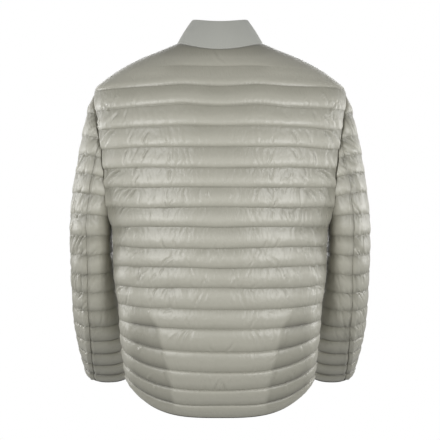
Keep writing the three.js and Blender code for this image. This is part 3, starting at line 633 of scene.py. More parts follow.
def waves(material, place, scale, distortion, direction="X"):
    """The grey value of straight waves."""
    inputs = {"Vector": place, "Scale": scale, "Distortion": distortion}
    node = add(material, "ShaderNodeTexWave", inputs, wave_type="BANDS", bands_direction=direction)
    return node.outputs["Fac"]


def blended(material, value, share, base):
    """A share of one grey value on top of another."""
    inputs = {0: value, 1: share, 2: base}
    return add(material, "ShaderNodeMath", inputs, operation="MULTIPLY_ADD").outputs[0]


def finished(material, shader, colour, height, strength, distance, sockets):
    """Links the colour and the bump to the shader, and sets its other sockets by name."""
    inputs = {"Height": height, "Strength": strength, "Distance": distance}
    bump = add(material, "ShaderNodeBump", inputs)
    material.node_tree.links.new(colour, shader.inputs["Base Color"])
    material.node_tree.links.new(bump.outputs[0], shader.inputs["Normal"])
    for name, value in sockets.items():
        shader.inputs[name].default_value = value
    return material


# %% Nylon taffeta, calendered to a soft shine
# The flat yarns lie so close that the cloth shines, and it is thin enough to crinkle finely.
NYLON_GLOSS = {
    "Roughness": 0.45,
    "IOR": 1.53,
    "Specular IOR Level": 0.9,
    "Sheen Weight": 0.25,
    "Sheen Roughness": 0.35,
}


def nylon_taffeta():
    material, shader = new_material("nylon_taffeta_calendered")
    uv = cloth_place(material)
    # The colour follows the panels' painted shade and painted highlight, with random mottling on top.
    shade_paint = add(material, "ShaderNodeAttribute", attribute_name="shade_paint").outputs["Fac"]
    shade = blended(material, mottled(material, uv, 14.0, 3.0), 0.3, shade_paint)
    # The ramp's dark end is the painted shade colour and its light end the painted highlight colour.
    colour = ramp(material, shade, [(0.1, "76746A"), (0.5, "9A988B"), (1.0, "B4B2A5")])
    # Crinkles 5 to 6 mm wide, drawn out down the cloth, across the stitching. The weave is
    # faint diagonal bands nearly 3 mm apart, more than ten times as coarse as it is.
    drawn_out = add(material, "ShaderNodeMapping", {"Vector": uv, "Scale": (1.0, 0.5, 1.0)})
    crinkle = mottled(material, drawn_out.outputs[0], 180.0, 3.0, Roughness=0.55, Distortion=0.35)
    weave = waves(material, uv, 160.0, 0.6, "DIAGONAL")
    height = blended(material, weave, 0.04, crinkle)
    return finished(material, shader, colour, height, 0.46, 0.002, NYLON_GLOSS)


# %% Fine rib knit, matte cotton and polyester


def rib_knit():
    material, shader = new_material("rib_knit_matte")
    uv = cloth_place(material)
    fuzz = mottled(material, uv, 900.0, 2.0)
    height = blended(material, waves(material, uv, 130.0, 0.4), 0.5, fuzz)
    colour = ramp(material, fuzz, [(0.3, "AEAFA8"), (0.7, "BDBEB7")])
    sockets = {"Roughness": 0.9, "Sheen Weight": 0.3}
    return finished(material, shader, colour, height, 0.4, 0.0006, sockets)


# %% Woven tape, thread, moulded teeth and satin steel


def woven_tape(name, light, dark, rib_scale):
    material, shader = new_material(name)
    ribs = waves(material, cloth_place(material), rib_scale, 0.3)
    colour = ramp(material, ribs, [(0.2, dark), (0.8, light)])
    return finished(material, shader, colour, ribs, 0.4, 0.0004, {"Roughness": 0.75})


def plain_finish(name, light, dark, roughness, metallic, grain_scale):
    """A finish with a fine uneven grain, read from the object's own coordinates."""
    material, shader = new_material(name)
    place = add(material, "ShaderNodeTexCoord").outputs["Object"]
    grain = mottled(material, place, grain_scale, 3.0)
    colour = ramp(material, grain, [(0.3, dark), (0.7, light)])
    sockets = {"Roughness": roughness, "Metallic": metallic}
    return finished(material, shader, colour, grain, 0.15, 0.0003, sockets)


NYLON = nylon_taffeta()
KNIT = rib_knit()
# The binding tape is a real piece, and its colour is set dark as painted shade for the dark line along the
# hem and cuff edges.
BINDING_TAPE = woven_tape("binding_tape_woven", "57554B", "46443B", 220.0)
ZIP_TAPE = woven_tape("zip_tape_woven", "9C9A8E", "858377", 300.0)
THREAD = plain_finish("polyester_thread", "B7B5A8", "A7A598", 0.55, 0.0, 900.0)
TEETH = plain_finish("acetal_moulded_teeth", "A3A196", "98968B", 0.35, 0.0, 400.0)
STEEL = plain_finish("steel_satin_plated", "9A9A96", "8E8E8A", 0.38, 1.0, 1500.0)
print("materials:", len(bpy.data.materials))

# %% [markdown]
# ## The quilted panels
#
# The back, the fronts and the sleeves share one recipe: a smooth surface, raised by the
# filling between the quilting lines, pressed flat beside the seams and creased by gathers.

# %% Where two panels press together


def armpit(row):
    """How much filling is squeezed away where the side and the sleeve lie together: all of it at
    the underarm, a little over half below, and none once the sleeve swings clear."""
    return smooth(6.5, 9, row) * (1 - 0.42 * smooth(9.1, 9.9, row)) * (1 - smooth(13.2, 15, row))


def pressed(distance, at_seam):
    """The share of its filling that a panel keeps at a distance from its seam. Where two panels
    meet at an angle at_seam is 0, so that neither swells through the other."""
    rise = np.minimum(1, distance / SEAM_PRESS)
    power = np.where(at_seam > 0.2, 0.5, 1.0)
    return at_seam + (1 - at_seam) * rise**power


def tube(share, height, sag):
    """The section of a filled channel from 0 to 1. The stitching stands a little under the
    crown, a narrow notch drops to it, and the crown sags below the middle."""
    notch = 1 - np.exp(-np.minimum(share, 1 - share) * height / NOTCH.width)
    crown = np.maximum(0, np.sin(np.pi * np.clip(share, 0, 1) ** sag))
    return NOTCH.floor + NOTCH.depth * notch + (1 - NOTCH.floor - NOTCH.depth) * crown


def drawn_in(edge, neighbour):
    """The points of an edge, moved towards their neighbours by the seam gap."""
    way = neighbour - edge
    length = np.maximum(np.linalg.norm(way, axis=-1, keepdims=True), 1e-9)
    return edge + way / length * np.minimum(SEAM_GAP, length / 2)


def pulled_in(grid, sides=((0, 1), (-1, -2)), first_row=False):
    """The grid with its sides and its last row drawn in, and its first row where wanted. Each
    side is the number of its column and of the column next to it."""
    grid = grid.copy()
    for edge, neighbour in sides:
        grid[:, edge] = drawn_in(grid[:, edge], grid[:, neighbour])
    if first_row:
        grid[0] = drawn_in(grid[0], grid[1])
    grid[-1] = drawn_in(grid[-1], grid[-2])
    return grid


# The exponent that sags a tube's crown: high on the panel, and how much less it is lower down.
SAG = SimpleNamespace(upper=2.3, middle=1.1, lower=0.65)
# How gathers and creases weaken: in pressed cloth, in thin cloth, and beside or at a seam.
WEAKENED = SimpleNamespace(pressed=0.35, thin=0.6, seam_width=2.5, at_seam=0.4)
THIN_SINK = 2.2  # how far the cloth sinks where the filling has slid away
# Painted shade and painted highlight in the cloth's colour: its value at the stitching, on a smoothed
# line, and how much painted shade the groove, a millimetre of crease, the seam, thin filling and the
# pressed edge take off it. A ridge adds painted highlight.
PAINTED_LIGHT = SimpleNamespace(
    floor=0.38, eased=0.7, groove=0.28, crease=0.08, seam=0.14, thin=0.26, edge=0.13, power=0.8
)


def quilted(
    rows,
    lines,
    grid,
    puff,
    strength,
    lean,
    seed,
    near,
    squeeze,
    placed=0.0,
    ease=0.0,
    thin=0.0,
    flatten=0.0,
    at_seam=0.0,
):
    """A panel's outside and inside grids, its cloth coordinates, its values of painted shade and painted
    highlight, and its outward ways.
    strength and lean shape the gathers. near is each point's distance from the nearest seam,
    squeeze the share of filling that is left, placed the depths of the listed creases,
    ease how far a line's groove is smoothed, thin where the filling has slid away, flatten how
    far the tubes are evened out, and at_seam the share of filling at the seam."""
    number, share = channel(lines, rows)
    number, share = number[:, None], share[:, None]
    row = rows[:, None]
    lengths = arc_lengths(grid)
    across = lengths - lengths[:, -1:] / 2
    height = TUBE_WIDTH * np.diff(lines)[number[:, 0].astype(int)][:, None]
    beside_seam = pressed(near, at_seam)
    sag = SAG.upper - SAG.middle * smooth(7, 12, row) - SAG.lower * smooth(11.5, 16, row)
    section = tube(share, height, sag)
    section = section + (1 - section) * np.maximum(ease, flatten)
    ridge = EDGE_RIDGE.rise * smooth(3, 5, row)
    section = section + ridge * np.exp(-(((near - EDGE_RIDGE.place) / EDGE_RIDGE.width) ** 2))
    raised = puff * section * beside_seam * squeeze * fullness(across, number, seed + 20)
    creases = gathers(across, number, share, height, strength, lean, seed)
    normal = normals_of(grid)
    kept = np.minimum(1, WEAKENED.at_seam * at_seam + near / WEAKENED.seam_width)
    loose = np.minimum(1, WEAKENED.pressed + (1 - WEAKENED.pressed) * squeeze)
    sunk = (creases * loose * (1 - WEAKENED.thin * thin) + placed) * kept + THIN_SINK * thin
    out = grid + normal * (raised - sunk)[..., None]
    inner = grid - normal * WALL
    uv = np.stack(np.broadcast_arrays(across, -row * TUBE_WIDTH), axis=-1)
    from_line = np.minimum(share, 1 - share) * height
    # Painted shade: a dark line along the stitching, standing in for the groove's shadow.
    groove = np.exp(-((from_line / GROOVE) ** 2)) * (1 - ease)
    # Painted shade and painted highlight across each tube: darker by the stitching, lighter towards the
    # sagging crown, less so on a faint line.
    filling = np.maximum(0, np.sin(np.pi * np.clip(share, 0, 1) ** sag)) ** PAINTED_LIGHT.power
    painted_shading = PAINTED_LIGHT.floor + (1 - PAINTED_LIGHT.floor) * (filling + (1 - filling) * ease * PAINTED_LIGHT.eased)
    # Painted shade along the groove, in crease troughs, beside the seams, in thin cloth and along the
    # pressed edge; painted highlight on ridges.
    painted_shading = painted_shading * (1 - PAINTED_LIGHT.groove * groove) - PAINTED_LIGHT.crease * sunk
    painted_shading = painted_shading * ((1 - PAINTED_LIGHT.seam) + PAINTED_LIGHT.seam * beside_seam)
    painted_shading = painted_shading - PAINTED_LIGHT.thin * thin - PAINTED_LIGHT.edge * np.exp(-((near / EDGE_SHADE) ** 2))
    return out, inner, uv, painted_shading, normal


# %% The creases placed on the back
# The x and row of one end, the x and row of the other, half the width, and the depth. Those of
# the first table lie on both sides of the middle, as mirror images. The yoke's lie only once.
BACK_CREASES = [
    (218, 2.73, 209, 3.05, 2.5, 1.6),
    (189, 2.3, 201, 2.88, 3.0, -1.6),
    (207, 2.65, 213, 2.98, 2.5, -1.6),
    (158, 2.53, 165, 2.93, 2.5, -1.2),
    (220, 2.58, 226, 2.9, 2.5, -1.4),
    (198, 3.18, 215, 3.73, 3.0, -1.8),
    (192, 3.28, 205, 3.7, 2.5, 1.5),
    (175, 3.2, 178, 3.6, 3.0, 1.0),
    (202, 4.0, 224, 4.65, 3.0, -2.0),
    (196, 4.08, 215, 4.73, 3.0, 1.4),
    (135, 4.23, 145, 4.78, 3.2, 1.6),
    (130, 4.3, 137, 4.78, 3.0, -1.0),
    (164, 4.3, 170, 4.75, 3.0, 0.9),
    (99, 4.45, 94, 4.8, 2.5, 1.0),
    (69, 4.17, 69, 4.8, 4.0, -0.8),
    (174, 5.1, 178, 5.88, 2.6, 1.5),
    (170, 5.15, 172, 5.73, 3.0, -0.8),
    (135, 5.12, 143, 5.6, 3.0, 1.2),
    (155, 5.4, 144, 5.7, 2.5, 1.0),
    (94, 5.28, 87, 5.9, 2.6, 1.2),
    (89, 5.23, 90, 5.62, 2.5, -0.9),
    (191, 6.08, 218, 6.62, 3.0, -1.9),
    (186, 6.08, 212, 6.75, 2.6, 1.5),
    (180, 6.18, 207, 6.8, 3.0, -1.6),
    (157, 5.98, 161, 6.4, 2.5, 1.4),
    (153, 6.4, 159, 6.85, 2.8, 1.4),
    (172, 6.5, 161, 6.6, 2.5, -0.9),
    (135, 6.2, 128, 6.6, 3.0, -0.9),
    (91, 6.1, 93, 6.65, 3.2, 1.2),
    (13, 6.5, 8, 6.85, 2.5, -0.9),
    (185, 7.12, 199, 7.53, 2.6, 1.3),
    (174, 7.1, 189, 7.58, 2.6, -1.5),
    (168, 7.1, 181, 7.58, 2.4, 1.3),
    (162, 7.15, 177, 7.68, 2.6, -1.4),
    (157, 7.1, 171, 7.62, 2.8, 1.4),
    (99, 7.1, 99, 7.62, 3.0, -0.9),
    (67, 7.1, 61, 7.68, 3.0, 1.3),
    (24, 7.23, 17, 7.68, 2.8, 0.9),
    (106, 7.58, 97, 7.93, 2.4, 1.5),
    (84, 7.58, 94, 7.93, 2.4, 1.4),
    (97, 7.62, 97, 7.93, 2.4, -1.0),
    (97, 8.08, 97, 8.47, 3.0, -1.1),
    (183, 8.05, 188, 8.4, 2.6, 1.4),
    (130, 8.22, 130, 8.62, 3.0, 0.7),
    (172, 9.1, 176, 9.55, 3.0, -1.0),
    (109, 9.53, 103, 9.95, 3.0, 1.3),
    (86, 9.62, 81, 9.95, 3.0, 1.1),
    (156, 10.15, 170, 10.5, 2.8, -1.1),
    (146, 10.12, 162, 10.55, 2.8, -1.2),
    (150, 10.15, 164, 10.5, 2.5, 1.0),
    (88, 10.45, 109, 10.88, 2.6, 1.9),
    (85, 10.55, 102, 10.9, 2.6, -1.4),
    (62, 10.45, 54, 10.9, 2.6, 1.4),
    (7, 9.75, 7, 10.1, 2.4, 1.4),
    (7, 10.1, 0, 10.5, 2.5, 1.3),
    (73, 10.2, 65, 10.45, 2.6, 0.9),
    (141, 11.23, 152, 11.65, 2.6, 1.4),
    (135, 11.18, 146, 11.58, 2.8, -1.0),
    (115, 11.28, 129, 11.68, 2.6, 1.5),
    (105, 11.05, 113, 11.45, 2.5, 1.1),
    (56, 11.05, 49, 11.4, 2.6, 1.1),
    (24, 11.33, 21, 11.83, 2.6, -1.7),
    (28, 11.53, 32, 11.93, 3.5, 1.5),
    (69, 11.78, 56, 11.88, 3.0, 0.8),
    (119, 12.0, 125, 12.4, 2.4, 1.6),
    (125, 12.4, 131, 12.78, 2.8, 1.2),
    (101, 12.05, 107, 12.38, 2.4, 0.9),
    (30, 12.25, 38, 12.73, 2.8, -1.2),
    (19, 12.25, 24, 12.68, 3.0, -0.9),
    (39, 12.45, 47, 12.9, 3.5, 1.5),
    (188, 12.05, 200, 12.45, 2.6, -1.6),
    (192, 12.23, 202, 12.65, 2.4, 1.2),
    (127, 13.03, 133, 13.25, 2.6, -1.2),
    (90, 13.08, 106, 13.25, 2.5, 1.0),
    (62, 13.45, 57, 13.83, 3.0, 1.3),
    (45, 13.45, 41, 13.75, 2.8, 1.0),
    (68, 14.08, 79, 14.65, 2.6, -1.3),
    (62, 14.1, 72, 14.6, 2.4, 1.1),
    (56, 14.1, 66, 14.65, 2.6, -1.3),
    (81, 14.18, 98, 14.6, 3.0, -1.0),
    (24, 14.58, 12, 14.93, 3.0, 1.3),
    (149, 15.1, 153, 15.45, 2.8, -1.1),
    (104, 15.15, 94, 15.48, 3.0, 1.1),
    (108, 15.0, 98, 15.33, 2.6, -1.3),
    (19, 16.12, 17, 16.4, 3.0, -1.0),
    (0, 16.18, 6, 16.62, 2.6, -1.3),
    (0, 16.35, 9, 16.93, 2.4, 2.0),
    (0, 16.48, 4, 16.98, 2.4, -1.2),
    (128, 16.45, 138, 16.88, 3.0, -0.9),
    (118, 16.9, 124, 17.4, 3.0, -1.0),
    (104, 16.15, 101, 16.6, 3.5, 0.8),
]
YOKE_CREASES = [
    (15, 0.15, -6, 0.85, 3.0, -1.6),
    (9, 0.2, -12, 0.85, 3.0, 1.0),
]


# %% How the quilting lines wander
# In the photograph the lines under the yoke rise 1 to 5 mm, some 70 mm from the middle.
line_rise = table(
    "row rise", [(0, 0), (1, 0.03), (2, 0.085), (3, 0.13), (4, 0.05), (5, 0), (12, 0), (19, 0)]
)
RISE = SimpleNamespace(place=72, width=42)
WANDER = SimpleNamespace(rows=0.045, length=70)  # a stitcher's hand isn't a ruler


def wandered(row, x, edge, seed):
    """The rows at which the cloth is looked up, so that the lines rise and wander between the
    panel's edges. edge is each point's share of full freedom."""
    rise = line_rise(row).rise * np.exp(-(((np.abs(x) - RISE.place) / RISE.width) ** 2))
    drift = WANDER.rows * noise(x / WANDER.length, row * 0.9, seed) * smooth(0.2, 1.2, row)
    return row - edge * (rise + drift * (1 - smooth(18, 18.8, row)))


# %% The valley along the back of the armhole


def edge_distance(grid):
    lengths = arc_lengths(grid)
    return np.minimum(lengths, lengths[:, -1:] - lengths)


VALLEY = SimpleNamespace(lift=3.5, width=20)  # the filling bridges it, so it is shallower


def valley_lift(row, distance):
    """How far the cloth behind the armhole is lifted to +Y, on both sides of the seam."""
    level = smooth(2.5, 6, row) * (1 - smooth(8.4, 9, row))
    return VALLEY.lift * level * np.exp(-((distance / VALLEY.width) ** 2))


# %% The back
BACK_COLUMNS = 304
BODY_ROWS = rows_through(BODY_LINES)


def back_grid():
    """Columns run from the wearer's left round the back to the right."""
    row = BODY_ROWS[:, None]
    end = outer_angle(row, True)
    share = np.linspace(-1, 1, BACK_COLUMNS + 1)[None]
    angle = np.pi / 2 - np.abs(share) * (np.pi / 2 - end)
    x = body_point(row, angle, True)[..., 0] * -np.sign(share)
    grid = body_point(wandered(row, x, smooth(0, 0.25, 1 - np.abs(share)), 90), angle, True)
    grid[..., 0] *= -np.sign(share)
    grid[..., 1] += valley_lift(row, edge_distance(grid))
    return grid


SIDE_DEPTH = 45  # how far from the side, front and back, the sleeve presses on the body
LEAN = SimpleNamespace(body=0.5, sleeve=0.4, width=90)  # the gathers' slant, strongest at an edge
FLAT_EDGE = SimpleNamespace(share=0.55, width=45)  # the back's tubes are evened out by its edges


def side_squeeze(row, grid):
    return 1 - armpit(row) * np.exp(-((grid[..., 1] / SIDE_DEPTH) ** 2))


def side_seam_fill(row):
    """The share of filling at a body panel's edge: none at the armhole, where the sleeve meets
    it at an angle, and some at the side seam below."""
    return SEAM_FILL * smooth(9.5, 10.5, row)


def yoke_draw(row, grid):
    """The yoke is drawn tight over the shoulders, so its tubes are flatter, most at the side."""
    share = np.abs(grid[..., 0]) / body_ring(row).half
    return smooth(-1.5, 3, row) * (1 - (1 - smooth(1, 3, row)) * 0.6 * share**2)


# Low at each side the filling is thin, and painted shade darkens the cloth there. The zone's inner edge
# runs down and inwards.
thin_edge = table("row x", [(12, 150), (13, 138), (14, 118), (15, 107), (16, 97), (17, 90), (19, 84)])


def thin_zone(row, x):
    """1 where the filling is thin, low at the sides, and 0 elsewhere."""
    edge = thin_edge(row).x
    high = smooth(12.7, 13.7, row) * (1 - smooth(18, 19, row))
    return high * smooth(edge - 5, edge + 7, np.abs(x)) * (1 - smooth(160, 182, np.abs(x)))


def faint_line(row, x):
    """The first line is only lightly stitched, and it fades out towards the shoulders."""
    first = smooth(0.35, 0.75, row) * (1 - smooth(1.25, 1.65, row))
    return first * (0.45 + 0.55 * smooth(70, 120, np.abs(x)))


gather_strength = table(
    "row middle quarter side",
    [
        (0, 0.05, 0.05, 0.2),
        (2, 0.12, 0.25, 0.8),
        (4, 0.35, 0.6, 1.1),
        (6, 0.5, 1.0, 1.2),
        (9, 0.5, 0.9, 1.4),
        (12, 0.6, 0.8, 1.3),
        (14, 0.5, 0.6, 1.1),
        (16, 0.35, 0.45, 0.9),
        (19, 0.3, 0.4, 0.6),
    ],
)


def body_strength(row, x):
    """How deep the gathers are: least at the middle and on the yoke, most by the armholes."""
    level = gather_strength(row)
    share = np.abs(x) / body_ring(row).half
    inner, outer = smooth(0, 0.5, share), smooth(0.5, 0.95, share)
    return level.middle + (level.quarter - level.middle) * inner + (level.side - level.quarter) * outer


PIECES = {}
STITCH_LINES = []


def add_panel(name, parts, material, mirror=False):
    """One closed mesh of one or more walls. Each part is its quilted grids and its open rims."""
    points, faces, uvs, shade_paints = [], [], [], []
    start = 0
    for (outer, inner, uv, painted_shading, _), openings in parts:
        part_points, part_faces = wall_of(outer, inner, **openings)
        points.append(part_points)
        faces.append(part_faces + start)
        uvs.append(strided(uv))
        # painted shade and painted highlight, one value for each point
        shade_paints.append(strided(painted_shading))
        start += len(part_points)
    PIECES[name] = mesh_piece(
        name,
        np.concatenate(points),
        np.concatenate(faces),
        material,
        uv=np.concatenate(uvs),
        shade_paint=np.concatenate(shade_paints),
        mirror=mirror,
    )


row = BODY_ROWS[:, None]
grid = back_grid()
near = np.minimum(edge_distance(grid), row * TUBE_WIDTH * 3)
back_parts = quilted(
    BODY_ROWS,
    BODY_LINES,
    pulled_in(grid, first_row=True),
    puff=PUFF.body,
    strength=body_strength(row, grid[..., 0]),
    lean=np.sign(grid[..., 0]) * LEAN.body * np.exp(-near / LEAN.width),
    seed=100,
    near=near,
    squeeze=side_squeeze(row, grid) * yoke_draw(row, grid),
    placed=hand_creases(BACK_CREASES, np.abs(grid[..., 0]), row)
    + hand_creases(YOKE_CREASES, grid[..., 0], row),
    ease=faint_line(row, grid[..., 0]),
    thin=thin_zone(row, grid[..., 0]),
    flatten=FLAT_EDGE.share * np.exp(-near / FLAT_EDGE.width),
    at_seam=side_seam_fill(row),
)
STITCH_LINES.append(("back", back_parts, BODY_ROWS, BODY_LINES, False))
add_panel("back_shell", [(back_parts, {})], NYLON)

# %% The fronts
# The photograph doesn't show them. Their creases are the back's, a row higher on the wearer's
# left and a row lower on the right.
FRONT_COLUMNS = 152


def front_grid():
    """Columns run from the neckline or the zip to the side. The first row is one point."""
    row = BODY_ROWS[:, None]
    start, end = inner_angle(row), outer_angle(row, False)
    share = np.linspace(0, 1, FRONT_COLUMNS + 1)[None]
    grid = body_point(row, start + (end - start) * share, False)
    grid[0] = grid[0, -1]
    return grid


grid = front_grid()
near = edge_distance(grid)
for hand, mirror, seed, row_shift in (("left", False, 200, 1), ("right", True, 300, -1)):
    front_parts = quilted(
        BODY_ROWS,
        BODY_LINES,
        pulled_in(grid),
        puff=PUFF.body,
        strength=body_strength(row, grid[..., 0]),
        lean=-LEAN.body * np.exp(-near / LEAN.width),
        seed=seed,
        near=near,
        squeeze=side_squeeze(row, grid) * yoke_draw(row, grid),
        placed=hand_creases(BACK_CREASES, np.abs(grid[..., 0]), row + row_shift),
        at_seam=side_seam_fill(row),
    )
    STITCH_LINES.append((f"front_{hand}", front_parts, BODY_ROWS, BODY_LINES, mirror))
    add_panel(f"front_{hand}_shell", [(front_parts, {})], NYLON, mirror)

# %% The upper sleeves


def sleeve_puff(row):
    """The tubes stand out more on the narrow lower sleeve."""
    return PUFF.sleeve * (1 + 0.3 * smooth(12, 15, row))


UPPER_COLUMNS = 160
UPPER_ROWS = rows_through(SLEEVE_LINES)
UPPER_GATHERS = SimpleNamespace(plain=1.9, by_seam=0.9, width=40, lost_below=0.35)
FLAT_OUTSIDE = SimpleNamespace(share=0.62, degrees=42)  # the tubes are evened out on the outside
CAP_PRESS = 1.15  # how fast the filling comes back below the sleeve cap's point


def upper_grid():
    """Columns run from the front seam over the outside to the back seam."""
    row = UPPER_ROWS[:, None]
    back = seam_angle(back_seam, BACK_SEAM_START, row)
    front = -seam_angle(front_seam, FRONT_SEAM_START, row)
    share = np.linspace(0, 1, UPPER_COLUMNS + 1)[None]
    rows, angles = np.broadcast_arrays(row, front + (back - front) * share)
    with np.errstate(divide="ignore", invalid="ignore"):
        grid = sleeve_point(rows, angles)
    grid[0] = armhole_point(np.array(float(SHOULDER_ROW)), True)
    lengths = arc_lengths(grid)
    seam_start = np.minimum(row, BACK_SEAM_START)
    to_armhole = lengths[:, -1:] - lengths + (row - seam_start) * TUBE_WIDTH
    grid[..., 1] += valley_lift(row, to_armhole)
    return grid, angles


grid, angles = upper_grid()
row = UPPER_ROWS[:, None]
to_seam = edge_distance(grid)
near = np.minimum(to_seam, (row - SHOULDER_ROW) * SEAM_PRESS * CAP_PRESS)
gathered = UPPER_GATHERS.plain + UPPER_GATHERS.by_seam * np.exp(-to_seam / UPPER_GATHERS.width)
below_start = row - np.where(angles > 0, BACK_SEAM_START, FRONT_SEAM_START)
for hand, mirror, seed in (("left", False, 400), ("right", True, 500)):
    sleeve_parts = quilted(
        UPPER_ROWS,
        SLEEVE_LINES,
        pulled_in(grid),
        puff=sleeve_puff(row),
        strength=gathered * (1 - UPPER_GATHERS.lost_below * smooth(12, 17, row)),
        lean=LEAN.sleeve * np.sign(np.linspace(-1, 1, UPPER_COLUMNS + 1))[None] * np.ones_like(near),
        seed=seed,
        near=near,
        squeeze=np.ones_like(near),
        # thin sinks the cloth low on the sleeve and darkens it there with painted shade
        thin=0.5 * smooth(15.5, 19, row),
        flatten=FLAT_OUTSIDE.share * np.exp(-((np.degrees(angles) / FLAT_OUTSIDE.degrees) ** 2)),
        at_seam=SEAM_FILL * smooth(0.2, 1.2, below_start),
    )
    STITCH_LINES.append((f"upper_sleeve_{hand}", sleeve_parts, UPPER_ROWS, SLEEVE_LINES, mirror))
    add_panel(f"upper_sleeve_{hand}_shell", [(sleeve_parts, {})], NYLON, mirror)

# %% The under sleeves
# Each is two grids that share the line under the arm, from the armpit to the cuff.
UNDER_COLUMNS = SimpleNamespace(back=64, front=40)
UNDER_GATHERS = SimpleNamespace(plain=0.45, by_seam=2.2, width=16)
INNER_SIDE = SimpleNamespace(x=214, width=16)  # where the sleeve is pressed by the body
JOIN_COLUMNS = 9  # columns over which the two halves bend to meet


def under_grid(seam, start, columns, rear):
    """Rows, and points from the seam to the armhole or to the line under the arm."""
    marks = SLEEVE_LINES[SLEEVE_LINES > start]
    rows = rows_through([start, *marks])
    row = rows[:, None]
    angle = seam_angle(seam, start, row)
    share = np.linspace(0, 1, columns + 1)[None]
    angle = angle + (sleeve_end(row) - angle) * share
    grid = sleeve_point(*np.broadcast_arrays(row, angle if rear else -angle))
    grid[0] = armhole_point(np.array(start), rear)
    if rear:
        lengths = arc_lengths(grid)
        grid[..., 1] += valley_lift(row, lengths[:, -1:] - lengths)
    return (rows, grid) if rear else (rows, grid[:, ::-1])


def under_half(seam, start, columns, rear, seed):
    """One half's rows, its quilted grids, and the row below which it joins the other half. Its
    filling is pressed beside the seam and the armhole, not at the line under the arm."""
    rows, grid = under_grid(seam, start, columns, rear)
    row = rows[:, None]
    lengths = arc_lengths(grid)
    from_seam = lengths if rear else lengths[:, -1:] - lengths
    below = np.maximum(0, row - UNDERARM_ROW) * TUBE_WIDTH
    near = np.minimum(from_seam, lengths[:, -1:] - from_seam + below)
    inside = np.exp(-(((grid[..., 0] - INNER_SIDE.x) / INNER_SIDE.width) ** 2))
    parts = quilted(
        rows,
        SLEEVE_LINES,
        pulled_in(grid, [(0, 1)] if rear else [(-1, -2)]),
        puff=sleeve_puff(row),
        strength=UNDER_GATHERS.plain + UNDER_GATHERS.by_seam * np.exp(-from_seam / UNDER_GATHERS.width),
        lean=np.full_like(near, LEAN.body if rear else -LEAN.body),
        seed=seed,
        near=near,
        squeeze=1 - inside * armpit(row),
        # thin sinks the cloth on the lower under sleeve and darkens it there with painted shade
        thin=smooth(12, 18.5, row),
        at_seam=SEAM_FILL * smooth(0, 10, lengths[:, -1:] - 2 * from_seam + below),
    )
    shared = int(np.flatnonzero(np.isclose(rows, UNDERARM_ROW))[0])
    return rows, parts, {"open_right" if rear else "open_left": shared}


def join_under_arm(halves):
    """Bends both halves over a few columns until they meet at the line under the arm."""
    (rear, rear_rim), (front, front_rim) = halves
    for behind, before in zip(rear[:2], front[:2]):
        near_side = behind[rear_rim["open_right"] :, -JOIN_COLUMNS:]
        far_side = before[front_rim["open_left"] :, JOIN_COLUMNS - 1 :: -1]
        step = (far_side[:, -1:] - near_side[:, -1:]) / 2
        share = np.linspace(0, 1, JOIN_COLUMNS)[None, :, None]
        near_side += step * share
        far_side -= step * share
        far_side[:, -1] = near_side[:, -1]


for hand, mirror, seed in (("left", False, 600), ("right", True, 700)):
    halves = []
    for seam, start, columns, rear in (
        (back_seam, BACK_SEAM_START, UNDER_COLUMNS.back, True),
        (front_seam, FRONT_SEAM_START, UNDER_COLUMNS.front, False),
    ):
        rows, parts, openings = under_half(seam, start, columns, rear, seed + (0 if rear else 50))
        halves.append((parts, openings))
        side = "back" if rear else "front"
        STITCH_LINES.append((f"under_sleeve_{hand}_{side}", parts, rows, SLEEVE_LINES, mirror))
    join_under_arm(halves)
    add_panel(f"under_sleeve_{hand}_shell", halves, NYLON, mirror)

# %% [markdown]
# ## The collar
#
# A doubled band of fine rib knit stands on the neck seam. Its section is carried along the
# neckline: up the outside, over a round top edge and down the inside.

# %% The collar
COLLAR = SimpleNamespace(
    wall=3.0, half=56, rear=50, fore=62, top=48.8, back_drop=10, front_drop=75, fullness=1.2
)
COLLAR_STEPS = SimpleNamespace(around=240, up=28, roll=8)


def resampled(line, count):
    """Points evenly spaced along a line."""
    along = line_lengths(line)
    even = np.linspace(0, along[-1], count + 1)
    return np.stack([np.interp(even, along, line[:, k]) for k in range(3)], axis=-1)


def neck_line():
    """The collar seam, from the wearer's left side of the zip round the back to the right."""
    row = np.linspace(NECK.row, 0.002, 80)
    left = body_point(row, inner_angle(row), False)
    back = back_grid()[0]
    return resampled(np.concatenate([left, back, (left * (-1, 1, 1))[::-1]]), COLLAR_STEPS.around)


def collar_top(base):
    """The top edge over a point of the seam: an oval that narrows and drops to the front."""
    back = base[:, 1] > 0
    reach = np.where(back, body_ring(0).rear, NECK.half)
    turn = np.arctan2(base[:, 1] / reach, base[:, 0] / NECK.half)
    x = COLLAR.half * np.cos(turn)
    least = np.minimum(ZIP_HALF, np.abs(base[:, 0]))
    x = np.sign(base[:, 0]) * np.maximum(least, np.abs(x))
    y = np.where(back, COLLAR.rear, COLLAR.fore) * np.sin(turn)
    drop = np.where(back, COLLAR.back_drop, COLLAR.front_drop)
    return np.stack([x, y, COLLAR.top - drop * np.sin(turn) ** 2], axis=-1)


def collar_section(base, top):
    """The closed section at each point: outside from the seam up, the rolled edge, inside."""
    up = top - base
    height = np.linalg.norm(up, axis=-1, keepdims=True)
    up = up / height
    along = np.gradient(base, axis=0)
    out = unit(np.cross(along, up))
    share = np.linspace(0, 1, COLLAR_STEPS.up + 1)
    bulge = COLLAR.fullness * np.sin(np.pi * share)
    roll = np.linspace(0, np.pi, COLLAR_STEPS.roll + 2)[1:-1]
    half = COLLAR.wall / 2
    heights = np.r_[share, np.ones_like(roll), share[::-1]]
    lifts = np.r_[np.zeros_like(share), half * np.sin(roll), np.zeros_like(share)]
    outs = np.r_[half + bulge, half * np.cos(roll), bulge[::-1] - half]
    middle = base - out * half
    reach = height - half
    return (
        middle[None]
        + up[None] * (heights[:, None, None] * reach[None] + lifts[:, None, None])
        + out[None] * outs[:, None, None]
    )


